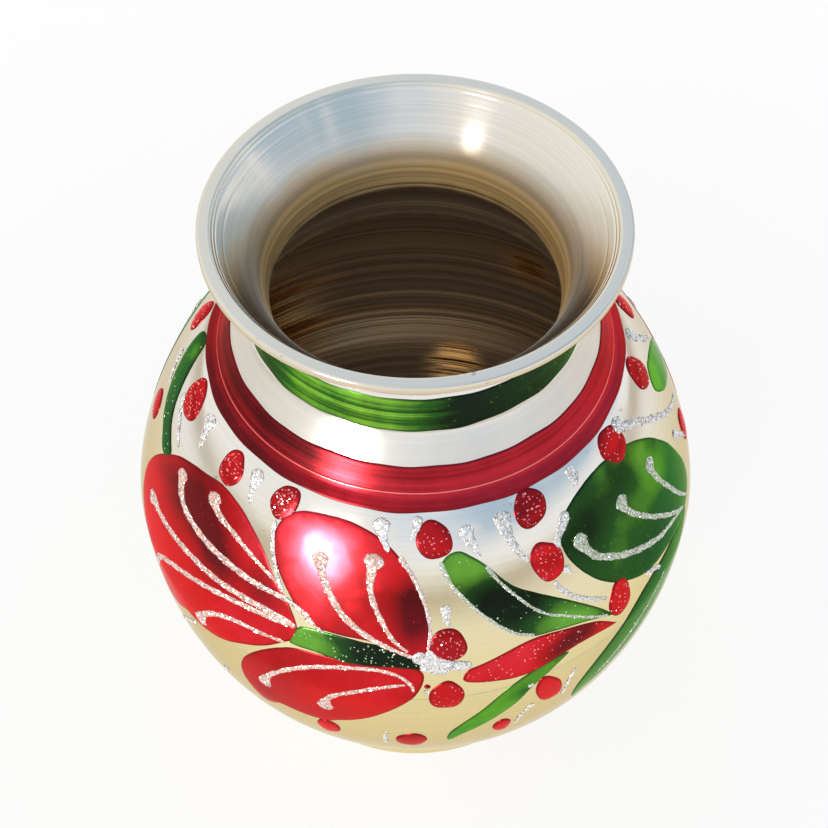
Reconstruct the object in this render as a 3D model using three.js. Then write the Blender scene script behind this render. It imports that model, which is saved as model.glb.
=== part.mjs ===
// A small brass pot with a flared mouth, a short neck on a sloping collar, a round belly and a low foot.
// It is built as such pots are made: a cast mouth, two spun body halves and a foot ring, brazed together,
// with one coat of green lacquer round the neck and one of red over the seam between collar and shoulder.
// Millimetres, +Z up. The origin is the centre of the plane that the pot stands on.
import * as THREE from "three";

// Overall sizes
const TOTAL_HEIGHT = 113.5;
const BELLY_RADIUS = 48.6;
const GIRTH_HEIGHT = 53.6;
const WALL = 1.1;

// Mouth: how far it flares out from the neck, and its flat lip
const FLARE_WIDTH = 6.4;
const FLARE_DEPTH = 9.2;
const FLARE_POWER = 1.5;
const LIP_WIDTH = 1.6;
const LIP_THICKNESS = 1.5;
const LIP_EDGE = 0.4;

// Inside of the mouth: a funnel that steepens towards the throat, which is narrower than the neck
const THROAT_STEP = 3.7;
const THROAT_RISE = 2.4;
const THROAT_LAND = 0.8;
const BEND_STEP = 2.1;
const BEND_RISE = 1;

// Neck, and the collar that slopes from it to the shoulder
const NECK_RADIUS = 26.6;
const NECK_HEIGHT = 8.4;
const COLLAR_WIDTH = 5.3;
const COLLAR_HEIGHT = 9.2;
const COLLAR_EDGE = 0.5;
const SEAT_WIDTH = 2.1;
const SPIGOT_WALL = 1;
const SPIGOT_DEPTH = 1.6;

// Body
const SHOULDER_POWER = 1.42;
const BOWL_POWER = 0.955;
const GIRTH_LAP = 3;
const FLOOR_HEIGHT = 3;

// Foot ring
const FOOT_RADIUS = 29.7;
const FOOT_HEIGHT = 8.5;
const FOOT_FLARE = 0.7;
const FOOT_WALL = 2.6;
const FOOT_BEVEL = 0.3;

// Brazing metal and lacquer
const BRAZE_SIZE = 0.5;
const LACQUER = 0.25;
const GREEN_BAND_DROP = 1.2;
const RED_BAND_RISE = 4.2;
const RED_BAND_REACH = 2.4;

// Fineness of the turned surfaces
const SEGMENTS = 48;
const FLARE_STEPS = 5;
const FUNNEL_STEPS = 6;
const SHOULDER_STEPS = 7;
const RED_BAND_STEPS = 2;
const BOWL_STEPS = 8;

// Radii and heights that follow from the sizes above
const mouthRadius = NECK_RADIUS + FLARE_WIDTH;
const neckTop = TOTAL_HEIGHT - FLARE_DEPTH;
const neckBottom = neckTop - NECK_HEIGHT;
const seatHeight = neckBottom - COLLAR_HEIGHT;
const collarRadius = NECK_RADIUS + COLLAR_WIDTH;
const openingRadius = collarRadius - SEAT_WIDTH;
const collarSlope = COLLAR_WIDTH / (COLLAR_HEIGHT - COLLAR_EDGE);
const lapRadius = BELLY_RADIUS - WALL / 2;
const footSeatRadius = FOOT_RADIUS - FOOT_FLARE;
const footInnerRadius = footSeatRadius - FOOT_WALL;

const BRASS = { color: 0xd9c896, roughness: 0.18, metalness: 1 };
const MATERIALS = {
  brass: new THREE.MeshStandardMaterial(BRASS),
  braze: new THREE.MeshStandardMaterial({ color: 0xcdbf9a, roughness: 0.35, metalness: 1 }),
  green: new THREE.MeshStandardMaterial({ color: 0x1d7a26, roughness: 0.12, metalness: 0.5 }),
  red: new THREE.MeshStandardMaterial({ color: 0xb3141f, roughness: 0.12, metalness: 0.5 }),
};

const at = (radius, height) => new THREE.Vector2(radius, height);

// A rounded quarter of a profile: level where it starts, upright where it ends, and flatter with more power
class Quarter {
  constructor(start, end, power) {
    this.start = start;
    this.end = end;
    this.power = power;
  }

  // The point at an angle, which goes from 0 at the start to a right angle at the end
  point(angle) {
    const across = Math.sin(angle) ** this.power;
    const along = Math.cos(angle) ** this.power;
    return at(
      this.start.x + (this.end.x - this.start.x) * across,
      this.end.y + (this.start.y - this.end.y) * along,
    );
  }

  angleAtRadius(radius) {
    const share = (radius - this.start.x) / (this.end.x - this.start.x);
    return Math.asin(share ** (1 / this.power));
  }

  angleAtHeight(height) {
    const share = (height - this.end.y) / (this.start.y - this.end.y);
    return Math.acos(share ** (1 / this.power));
  }

  // Points between two angles, both included
  run(from, to, steps) {
    return Array.from({ length: steps + 1 }, (_, i) => this.point(from + ((to - from) * i) / steps));
  }
}

const UPRIGHT = Math.PI / 2;

// The depth that brings the bowl's outside to the top of the foot ring
function bowlDepth() {
  const angle = Math.asin((footSeatRadius / BELLY_RADIUS) ** (1 / BOWL_POWER));
  return (GIRTH_HEIGHT - FOOT_HEIGHT) / Math.cos(angle) ** BOWL_POWER;
}

const bowlBottom = GIRTH_HEIGHT - bowlDepth();

// The outside and inside surfaces of the shoulder and of the bowl
const shoulder = new Quarter(at(collarRadius, seatHeight), at(BELLY_RADIUS, GIRTH_HEIGHT), SHOULDER_POWER);
const shoulderInside = new Quarter(
  at(collarRadius, seatHeight - WALL),
  at(BELLY_RADIUS - WALL, GIRTH_HEIGHT),
  SHOULDER_POWER,
);
const bowl = new Quarter(at(0, bowlBottom), at(BELLY_RADIUS, GIRTH_HEIGHT), BOWL_POWER);
const bowlInside = new Quarter(at(0, bowlBottom + WALL), at(BELLY_RADIUS - WALL, GIRTH_HEIGHT), BOWL_POWER);

// The outside of the flared mouth, from the lip down to the neck, and its inside, from the lip to the throat
const flare = new Quarter(
  at(mouthRadius - LIP_EDGE, TOTAL_HEIGHT - LIP_THICKNESS),
  at(NECK_RADIUS, neckTop),
  FLARE_POWER,
);
const throatRadius = NECK_RADIUS - THROAT_STEP;
const throatTop = neckBottom + THROAT_RISE;
const bend = at(NECK_RADIUS - BEND_STEP, neckTop + BEND_RISE);
const funnelTop = at(mouthRadius - LIP_EDGE - LIP_WIDTH, TOTAL_HEIGHT);
const funnel = new THREE.CubicBezierCurve(at(throatRadius, throatTop), bend, bend, funnelTop);

// A point on the outside of the sloping collar
function collarPoint(height) {
  return at(NECK_RADIUS + (neckBottom - height) * collarSlope, height);
}

// A point on the inside of the collar, whose sloping wall is as thick as the rest
function collarInsidePoint(radius) {
  const thickness = WALL * Math.hypot(1, collarSlope);
  return at(radius, neckBottom - (radius + thickness - NECK_RADIUS) / collarSlope);
}

// Where the brazing metal and the red band end on the shoulder, and where the band starts on the collar
const brazeAngle = shoulder.angleAtRadius(collarRadius + BRAZE_SIZE);
const bandAngle = shoulder.angleAtRadius(collarRadius + RED_BAND_REACH);
const bandTop = collarPoint(seatHeight + RED_BAND_RISE);
const collarFoot = at(collarRadius, seatHeight + COLLAR_EDGE);

// The groove round the girth, half in each half of the body
const grooveTop = shoulder.point(shoulder.angleAtHeight(GIRTH_HEIGHT + BRAZE_SIZE));
const grooveBottom = bowl.point(bowl.angleAtHeight(GIRTH_HEIGHT - BRAZE_SIZE));
const grooveRoot = at(lapRadius, GIRTH_HEIGHT);

// The strip of the bowl's underside that the foot ring holds
const footSeatTop = bowl.point(bowl.angleAtRadius(footSeatRadius));
const footSeatBottom = bowl.point(bowl.angleAtRadius(footInnerRadius));

// A turned piece from a profile that closes on itself, or that starts and ends on the axis
function turned(name, material, profile) {
  const geometry = new THREE.LatheGeometry(profile, SEGMENTS);
  geometry.rotateX(Math.PI / 2);
  const mesh = new THREE.Mesh(geometry, material);
  mesh.name = name;
  return mesh;
}

const closed = (profile) => [...profile, profile[0].clone()];

// The flared mouth, its flat lip, the neck and the collar, with a spigot that enters the shoulder
function mouthAndNeck() {
  const lip = [
    at(mouthRadius - LIP_EDGE, TOTAL_HEIGHT),
    at(mouthRadius, TOTAL_HEIGHT - LIP_EDGE),
    at(mouthRadius, TOTAL_HEIGHT - LIP_THICKNESS + LIP_EDGE),
  ];
  const outside = [...flare.run(0, UPRIGHT, FLARE_STEPS), at(NECK_RADIUS, neckBottom), bandTop, collarFoot];
  const seat = [
    at(collarRadius, seatHeight),
    at(openingRadius, seatHeight),
    at(openingRadius, seatHeight - SPIGOT_DEPTH),
  ];
  const spigotBore = openingRadius - SPIGOT_WALL;
  const inside = [
    at(spigotBore, seatHeight - SPIGOT_DEPTH),
    collarInsidePoint(spigotBore),
    collarInsidePoint(NECK_RADIUS - WALL),
    at(throatRadius, throatTop - THROAT_LAND),
    ...funnel.getPoints(FUNNEL_STEPS),
  ];
  return turned("mouth_and_neck", MATERIALS.brass, closed([...lip, ...outside, ...seat, ...inside].reverse()));
}

// The upper half of the body: a flat seat round its opening, the shoulder, and a tongue below the girth
function upperBody() {
  const outside = [
    at(openingRadius, seatHeight),
    at(collarRadius, seatHeight),
    ...shoulder.run(brazeAngle, bandAngle, RED_BAND_STEPS),
    ...shoulder.run(bandAngle, shoulder.angleAtHeight(grooveTop.y), SHOULDER_STEPS).slice(1),
    grooveRoot,
  ];
  const tongueEnd = bowlInside.angleAtHeight(GIRTH_HEIGHT - GIRTH_LAP);
  const inside = [
    at(lapRadius, GIRTH_HEIGHT - GIRTH_LAP),
    bowlInside.point(tongueEnd),
    ...shoulderInside.run(UPRIGHT, 0, SHOULDER_STEPS),
    at(openingRadius, seatHeight - WALL),
  ];
  return turned("upper_body", MATERIALS.brass, closed([...outside, ...inside].reverse()));
}

// The lower half of the body, a deep bowl with a flat floor and a rebate for the tongue at the girth
function lowerBowl() {
  const floorTop = FLOOR_HEIGHT + WALL;
  const outside = [
    ...bowl.run(bowl.angleAtHeight(grooveBottom.y), bowl.angleAtRadius(footSeatRadius), BOWL_STEPS),
    footSeatBottom,
    bowl.point(bowl.angleAtHeight(FLOOR_HEIGHT)),
    at(0, FLOOR_HEIGHT),
  ];
  const lapBottom = bowlInside.angleAtHeight(GIRTH_HEIGHT - GIRTH_LAP);
  const inside = [
    at(0, floorTop),
    ...bowlInside.run(bowlInside.angleAtHeight(floorTop), lapBottom, BOWL_STEPS),
    at(lapRadius, GIRTH_HEIGHT - GIRTH_LAP),
    grooveRoot,
  ];
  return turned("lower_bowl", MATERIALS.brass, [...inside, ...outside].reverse());
}

// The ring that the pot stands on, flared a little towards its flat underside
function footRing() {
  const profile = [
    at(footInnerRadius, 0),
    at(FOOT_RADIUS - FOOT_BEVEL, 0),
    at(FOOT_RADIUS, FOOT_BEVEL),
    footSeatTop,
    footSeatBottom,
  ];
  return turned("foot_ring", MATERIALS.brass, closed(profile));
}

// Brazing metal in the corner between the collar's edge and the shoulder
function neckBraze() {
  const profile = [at(collarRadius, seatHeight), shoulder.point(brazeAngle), collarFoot];
  return turned("neck_braze", MATERIALS.braze, closed(profile));
}

// Brazing metal in the groove at the girth, flush with the body
function girthBraze() {
  return turned("girth_braze", MATERIALS.braze, closed([grooveRoot, grooveBottom, grooveTop]));
}

// Brazing metal in the corner between the foot ring and the underside of the bowl
function footBraze() {
  const profile = [
    footSeatBottom,
    bowl.point(bowl.angleAtRadius(footInnerRadius - BRAZE_SIZE)),
    at(footInnerRadius, footSeatBottom.y - BRAZE_SIZE),
  ];
  return turned("foot_braze", MATERIALS.braze, closed(profile));
}

// A coat of lacquer over a run of profile points that goes down the outside of the pot
function coat(name, material, under) {
  const over = under.map((point, i) => {
    const before = under[Math.max(i - 1, 0)];
    const after = under[Math.min(i + 1, under.length - 1)];
    const along = after.clone().sub(before).normalize();
    return at(point.x - along.y * LACQUER, point.y + along.x * LACQUER);
  });
  return turned(name, material, closed([...under, ...over.reverse()]));
}

// The green coat round the straight neck
function greenNeckBand() {
  const under = [at(NECK_RADIUS, neckTop - GREEN_BAND_DROP), at(NECK_RADIUS, neckBottom)];
  return coat("green_neck_band", MATERIALS.green, under);
}

// The red coat over the foot of the collar, the brazed corner and the edge of the shoulder
function redShoulderBand() {
  const under = [bandTop, collarFoot, ...shoulder.run(brazeAngle, bandAngle, RED_BAND_STEPS)];
  return coat("red_shoulder_band", MATERIALS.red, under);
}

const matka = new THREE.Group();
matka.add(
  mouthAndNeck(),
  upperBody(),
  lowerBowl(),
  footRing(),
  neckBraze(),
  girthBraze(),
  footBraze(),
  greenNeckBand(),
  redShoulderBand(),
);

export default matka;
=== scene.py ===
"""The looks of a small painted brass water pot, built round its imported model.

Outlines and the painting are in millimetres, turned to metres where their meshes are made; the finishes
and the nodes read metres. An azimuth is in degrees round the pot's axis: 0 at the painted front, growing
to the right as the front is seen.
"""

import logging
import math
from dataclasses import dataclass
from enum import Enum
from functools import reduce
from typing import Any, Iterable, Sequence

import bmesh
import bpy
import numpy as np
from mathutils import Matrix, Vector
from mathutils.geometry import delaunay_2d_cdt


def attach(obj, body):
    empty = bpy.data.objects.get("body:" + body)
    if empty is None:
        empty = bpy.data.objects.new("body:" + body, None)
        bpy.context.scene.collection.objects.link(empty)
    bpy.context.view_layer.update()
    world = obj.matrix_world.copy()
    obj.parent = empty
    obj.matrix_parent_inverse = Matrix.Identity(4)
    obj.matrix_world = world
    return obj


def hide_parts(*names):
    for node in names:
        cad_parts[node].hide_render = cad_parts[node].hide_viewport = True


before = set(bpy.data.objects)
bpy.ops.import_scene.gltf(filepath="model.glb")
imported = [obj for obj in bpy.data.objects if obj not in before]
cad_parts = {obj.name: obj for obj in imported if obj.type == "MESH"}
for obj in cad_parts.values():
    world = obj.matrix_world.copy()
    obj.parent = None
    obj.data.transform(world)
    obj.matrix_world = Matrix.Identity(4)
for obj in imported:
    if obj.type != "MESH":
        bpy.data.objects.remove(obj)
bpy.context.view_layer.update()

LOG = logging.getLogger("pot")
MM = 0.001
BODY = "root"
POT_HEIGHT = 0.1135
UPRIGHT = math.pi / 2
FULL_TURN = 2 * math.pi

# A point is a radius and a height, and a spot is an azimuth and a height.
Point = tuple[float, float]
Spot = tuple[float, float]
Colour = tuple[float, float, float]
Socket = bpy.types.NodeSocket
Material = bpy.types.Material
Piece = bpy.types.Object


# Node trees


class Graph:
    """A node tree while it is being built."""

    # Where a Mix node takes its factor and two colours, and where it gives the mixed colour.
    mix_inputs = (0, 6, 7)
    mix_result = 2

    def __init__(self, tree: bpy.types.NodeTree) -> None:
        """Takes an empty node tree."""
        self.tree = tree

    def add(self, kind: str, values: dict[Any, Any] | None = None, **settings: Any) -> bpy.types.Node:
        """Adds a node.

        Args:
            kind: Blender's name for the node's type.
            values: what goes into each input, by name or index: a socket to link, or a plain value.
            settings: properties of the node itself.

        Returns:
            The new node.
        """
        node = self.tree.nodes.new(kind)
        for name, setting in settings.items():
            setattr(node, name, setting)
        for key, value in (values or {}).items():
            if isinstance(value, Socket):
                self.tree.links.new(value, node.inputs[key])
            elif isinstance(value, tuple) and len(value) == 3 and len(node.inputs[key].default_value) == 4:
                node.inputs[key].default_value = (*value, 1.0)
            else:
                node.inputs[key].default_value = value
        return node

    def out(self, kind: str, values: dict[Any, Any] | None = None, **settings: Any) -> Socket:
        """Adds a node, with the same arguments, and returns its first output."""
        return self.add(kind, values, **settings).outputs[0]

    def math(self, operation: str, *values: Any) -> Socket:
        """Adds a Math node on the given values or sockets and returns its result."""
        return self.out("ShaderNodeMath", dict(enumerate(values)), operation=operation)

    def times(self, first: Any, second: Any) -> Socket:
        """Multiplies two values or sockets."""
        return self.math("MULTIPLY", first, second)

    def plus(self, first: Any, second: Any) -> Socket:
        """Adds two values or sockets."""
        return self.math("ADD", first, second)

    def most(self, first: Any, second: Any) -> Socket:
        """Takes the larger of two values or sockets."""
        return self.math("MAXIMUM", first, second)

    def swing(self, noise: Socket, amount: Any) -> Socket:
        """Turns a noise of 0 to 1 into one that swings round 0, over an amount in all."""
        return self.times(self.math("SUBTRACT", noise, 0.5), amount)

    def vector(self, operation: str, *values: Any) -> Socket:
        """Adds a Vector Math node; the result of a length or distance is a number."""
        node = self.add("ShaderNodeVectorMath", dict(enumerate(values)), operation=operation)
        return node.outputs["Value" if operation in ("LENGTH", "DISTANCE") else "Vector"]

    def ramp(self, factor: Any, stops: Sequence[tuple[float, Colour]]) -> Socket:
        """Adds a colour ramp.

        Args:
            factor: the socket that runs along the ramp.
            stops: each stop's place and colour, in order.

        Returns:
            The colour socket.
        """
        node = self.add("ShaderNodeValToRGB", {"Fac": factor})
        for place, _ in stops[1:-1]:
            node.color_ramp.elements.new(place)
        for element, (place, colour) in zip(node.color_ramp.elements, stops):
            element.position = place
            element.color = (*colour, 1.0)
        return node.outputs["Color"]

    def spread(
        self, value: Any, low: float, high: float, to_low: float = 0.0, to_high: float = 1.0
    ) -> Socket:
        """Maps a value smoothly: low and what is below becomes to_low, high and what is above to_high."""
        values = {"Value": value, "From Min": low, "From Max": high, "To Min": to_low, "To Max": to_high}
        return self.out("ShaderNodeMapRange", values, interpolation_type="SMOOTHSTEP")

    def blend(self, factor: Any, first: Any, second: Any) -> Socket:
        """Mixes two colours or colour sockets, by how much of the second shows."""
        values = dict(zip(self.mix_inputs, (factor, first, second)))
        return self.add("ShaderNodeMix", values, data_type="RGBA").outputs[self.mix_result]

    def noise(self, vector: Any, scale: float, detail: float = 2.0, roughness: float = 0.5) -> Socket:
        """Adds a noise texture and returns its value, which is 0.5 on average."""
        values = {"Vector": vector, "Scale": scale, "Detail": detail, "Roughness": roughness}
        return self.out("ShaderNodeTexNoise", values)

    def attribute(self, name: str) -> Socket:
        """Reads a number that the mesh carries and returns its socket."""
        return self.add("ShaderNodeAttribute", attribute_name=name).outputs["Fac"]


class Surface(Graph):
    """A material while it is being built, with coordinates that follow the pot's turning."""

    def __init__(self, name: str) -> None:
        """Makes the material with a Principled shader on its output.

        Args:
            name: the material's name.
        """
        self.material = bpy.data.materials.new(name)
        self.material.use_nodes = True
        super().__init__(self.material.node_tree)
        self.tree.nodes.clear()
        self.shader = self.add("ShaderNodeBsdfPrincipled")
        self.output = self.add("ShaderNodeOutputMaterial", {"Surface": self.shader.outputs[0]})
        self.place = self.add("ShaderNodeTexCoord").outputs["Object"]
        parts = self.add("ShaderNodeSeparateXYZ", {0: self.place}).outputs
        self.side, self.height = parts["X"], parts["Z"]
        self.radius = self.vector("LENGTH", self.vector("MULTIPLY", self.place, (1.0, 1.0, 0.0)))

    def turning(self, wander: float = 0.0004) -> Socket:
        """Gives a vector that is the same all round the pot, but for a slow wander.

        Args:
            wander: how far the lines stray from true circles, in metres.

        Returns:
            A vector socket of radius and height.
        """
        stray = self.times(self.noise(self.place, 22.0, 1.0), wander)
        across, up = self.plus(self.radius, stray), self.plus(self.height, stray)
        return self.out("ShaderNodeCombineXYZ", {"X": across, "Y": up})

    def by_height(self, low: float, high: float, to_low: float = 0.0, to_high: float = 1.0) -> Socket:
        """Maps the height between two limits in metres, as spread does."""
        return self.spread(self.height, low, high, to_low, to_high)

    def set(self, **values: Any) -> None:
        """Sets the shader's inputs.

        Args:
            values: what goes into each input, with underscores for the spaces in its name.
        """
        for name, value in values.items():
            socket = self.shader.inputs[name.replace("_", " ")]
            if isinstance(value, Socket):
                self.tree.links.new(value, socket)
            else:
                socket.default_value = (*value, 1.0) if isinstance(value, tuple) else value

    def turned_blur(self, amount: float) -> None:
        """Blurs reflections across the turning lines more than along them, by 0 to 1."""
        self.set(Tangent=self.out("ShaderNodeTangent", direction_type="RADIAL", axis="Z"))
        self.set(Anisotropic=amount, Anisotropic_Rotation=0.25)

    def bump(self, height: Any, distance: float, under: Any = None) -> Socket:
        """Turns a height into a normal.

        Args:
            height: the socket that says how high the surface stands, 0 to 1.
            distance: how far it stands at 1, in metres.
            under: the normal of a coarser bump below this one.

        Returns:
            The normal socket.
        """
        values: dict[str, Any] = {"Height": height, "Distance": distance, "Strength": 1.0}
        if under is not None:
            values["Normal"] = under
        return self.out("ShaderNodeBump", values)


class Tool(Graph):
    """A Geometry Nodes tree with named inputs, which makes a piece from a base mesh."""

    def __init__(self, name: str, inputs: dict[str, str]) -> None:
        """Starts the tree with the base as its first input.

        Args:
            name: the tree's name.
            inputs: the name and kind of each other input.
        """
        super().__init__(bpy.data.node_groups.new(name, "GeometryNodeTree"))
        interface = self.tree.interface
        interface.new_socket("Base", in_out="INPUT", socket_type="NodeSocketGeometry")
        self.inputs = {}
        for label, kind in inputs.items():
            socket = interface.new_socket(label, in_out="INPUT", socket_type="NodeSocket" + kind)
            self.inputs[label] = socket.identifier
        interface.new_socket("Result", in_out="OUTPUT", socket_type="NodeSocketGeometry")
        self.source = self.add("NodeGroupInput").outputs

    def carried(self, name: str, kind: str = "FLOAT") -> Socket:
        """Reads a value that the base carries and returns its socket."""
        return self.out("GeometryNodeInputNamedAttribute", {"Name": name}, data_type=kind)

    def dressed(self, shape: Socket, finish: str) -> Socket:
        """Realizes a shape's instances and gives it the finish of that input."""
        real = self.out("GeometryNodeRealizeInstances", {"Geometry": shape})
        return self.out("GeometryNodeSetMaterial", {"Geometry": real, "Material": self.source[finish]})

    def made(self, name: str, base: bpy.types.Mesh, values: dict[str, Any]) -> Piece:
        """Runs the tree on a mesh and keeps the result as a plain mesh.

        Args:
            name: the name of the piece.
            base: the mesh that goes in.
            values: what goes into each named input.

        Returns:
            The piece, without its modifier.
        """
        piece = placed(name, base)
        modifier = piece.modifiers.new(name, "NODES")
        modifier.node_group = self.tree
        for label, value in values.items():
            modifier[self.inputs[label]] = value
        graph = bpy.context.evaluated_depsgraph_get()
        result = bpy.data.meshes.new_from_object(piece.evaluated_get(graph), depsgraph=graph)
        piece.modifiers.remove(modifier)
        piece.data = result
        result.name = name
        bpy.data.meshes.remove(base)
        return piece


# Objects and meshes


def placed(name: str, data: bpy.types.ID) -> bpy.types.Object:
    """Makes an object and puts it in the scene.

    Args:
        name: its name.
        data: its mesh, lamp or camera.

    Returns:
        The object.
    """
    made = bpy.data.objects.new(name, data)
    bpy.context.scene.collection.objects.link(made)
    return made


def carry(mesh: bpy.types.Mesh, name: str, values: np.ndarray) -> None:
    """Gives each point of a mesh a number under a name."""
    mesh.attributes.new(name, "FLOAT", "POINT").data.foreach_set("value", values)


def facing_out(mesh: bpy.types.Mesh) -> None:
    """Makes all faces of a closed mesh point outwards.

    Args:
        mesh: the mesh, which is changed.
    """
    shape = bmesh.new()
    shape.from_mesh(mesh)
    bmesh.ops.recalc_face_normals(shape, faces=shape.faces)
    shape.to_mesh(mesh)
    shape.free()


def finished(piece: Piece, slot: str, *nodes: str) -> Piece:
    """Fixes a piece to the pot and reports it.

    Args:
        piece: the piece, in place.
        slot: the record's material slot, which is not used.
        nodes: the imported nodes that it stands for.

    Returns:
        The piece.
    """
    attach(piece, BODY)
    if nodes:
        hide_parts(*nodes)
    LOG.info("%s: %d faces", piece.name, len(piece.data.polygons))
    return piece


# Finishes


@dataclass(frozen=True)
class PolishedBrass:
    """Bright brass with fine turning lines, painted with reflections: warm gold low down, pale and cool
    towards the mouth.
    """

    name: str = "polished_brass"
    # low, middle and high are painted reflection: warm gold where the belly mirrors the floor, pale and cool
    # where it mirrors the sky.
    low: Colour = (0.82, 0.69, 0.35)
    middle: Colour = (0.81, 0.735, 0.49)
    high: Colour = (0.85, 0.83, 0.79)
    # Painted golden reflection on the underside of the flare.
    under_flare_reflection: Colour = (0.7, 0.57, 0.37)
    lip: Colour = (0.84, 0.79, 0.69)
    line: Colour = (0.62, 0.55, 0.42)
    speck: Colour = (0.36, 0.24, 0.12)
    edge: Colour = (0.8, 0.73, 0.6)
    sheen: float = 0.09
    collar_haze: float = 0.16

    def build(self) -> Material:
        """Makes the material.

        Returns:
            The material.
        """
        face = Surface(self.name)
        lines = face.noise(face.turning(), 1500.0, 4.0, 0.7)
        coarse = face.noise(face.turning(), 260.0, 2.0)
        cloud = face.noise(face.place, 38.0, 3.0)
        # Painted reflection by height: warm gold below, pale and cool above, with a cloudy edge between.
        tone = face.math("DIVIDE", face.plus(face.height, face.swing(cloud, 0.012)), POT_HEIGHT)
        stops = [(0.0, self.low), (0.5, self.low), (0.62, self.middle), (0.71, self.high), (1.0, self.high)]
        colour = face.ramp(tone, stops)
        # Painted golden reflection on the underside of the flare.
        colour = face.blend(face.by_height(0.1035, 0.1065, 0.0, 0.8), colour, self.under_flare_reflection)
        colour = face.blend(face.by_height(0.1129, 0.1132), colour, self.lip)
        colour = face.blend(face.spread(lines, 0.35, 0.75, 0.0, 0.25), colour, self.line)
        specks = face.spread(face.noise(face.place, 420.0, 2.0), 0.72, 0.78, 0.0, 0.5)
        colour = face.blend(specks, colour, self.speck)
        dull = face.spread(face.noise(face.place, 90.0, 4.0), 0.4, 0.75, self.sheen, self.sheen + 0.09)
        collar = face.times(face.by_height(0.0865, 0.089), face.by_height(0.094, 0.0965, 1.0, 0.0))
        rough = face.plus(dull, face.times(lines, 0.05))
        rough = face.plus(rough, face.times(collar, self.collar_haze))
        ripple = face.bump(coarse, 0.000012, face.bump(cloud, 0.00022))
        face.set(Base_Color=colour, Metallic=1.0, Roughness=rough, Normal=face.bump(lines, 0.0000016, ripple))
        face.set(Specular_Tint=self.edge)
        face.turned_blur(0.7)
        return face.material


@dataclass(frozen=True)
class GlintPlace:
    """A painted glint inside the body: a place where the ridges get glint colour and a smoother finish, in
    metres.
    """

    centre: tuple[float, float, float]
    reach: float
    amount: float


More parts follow.
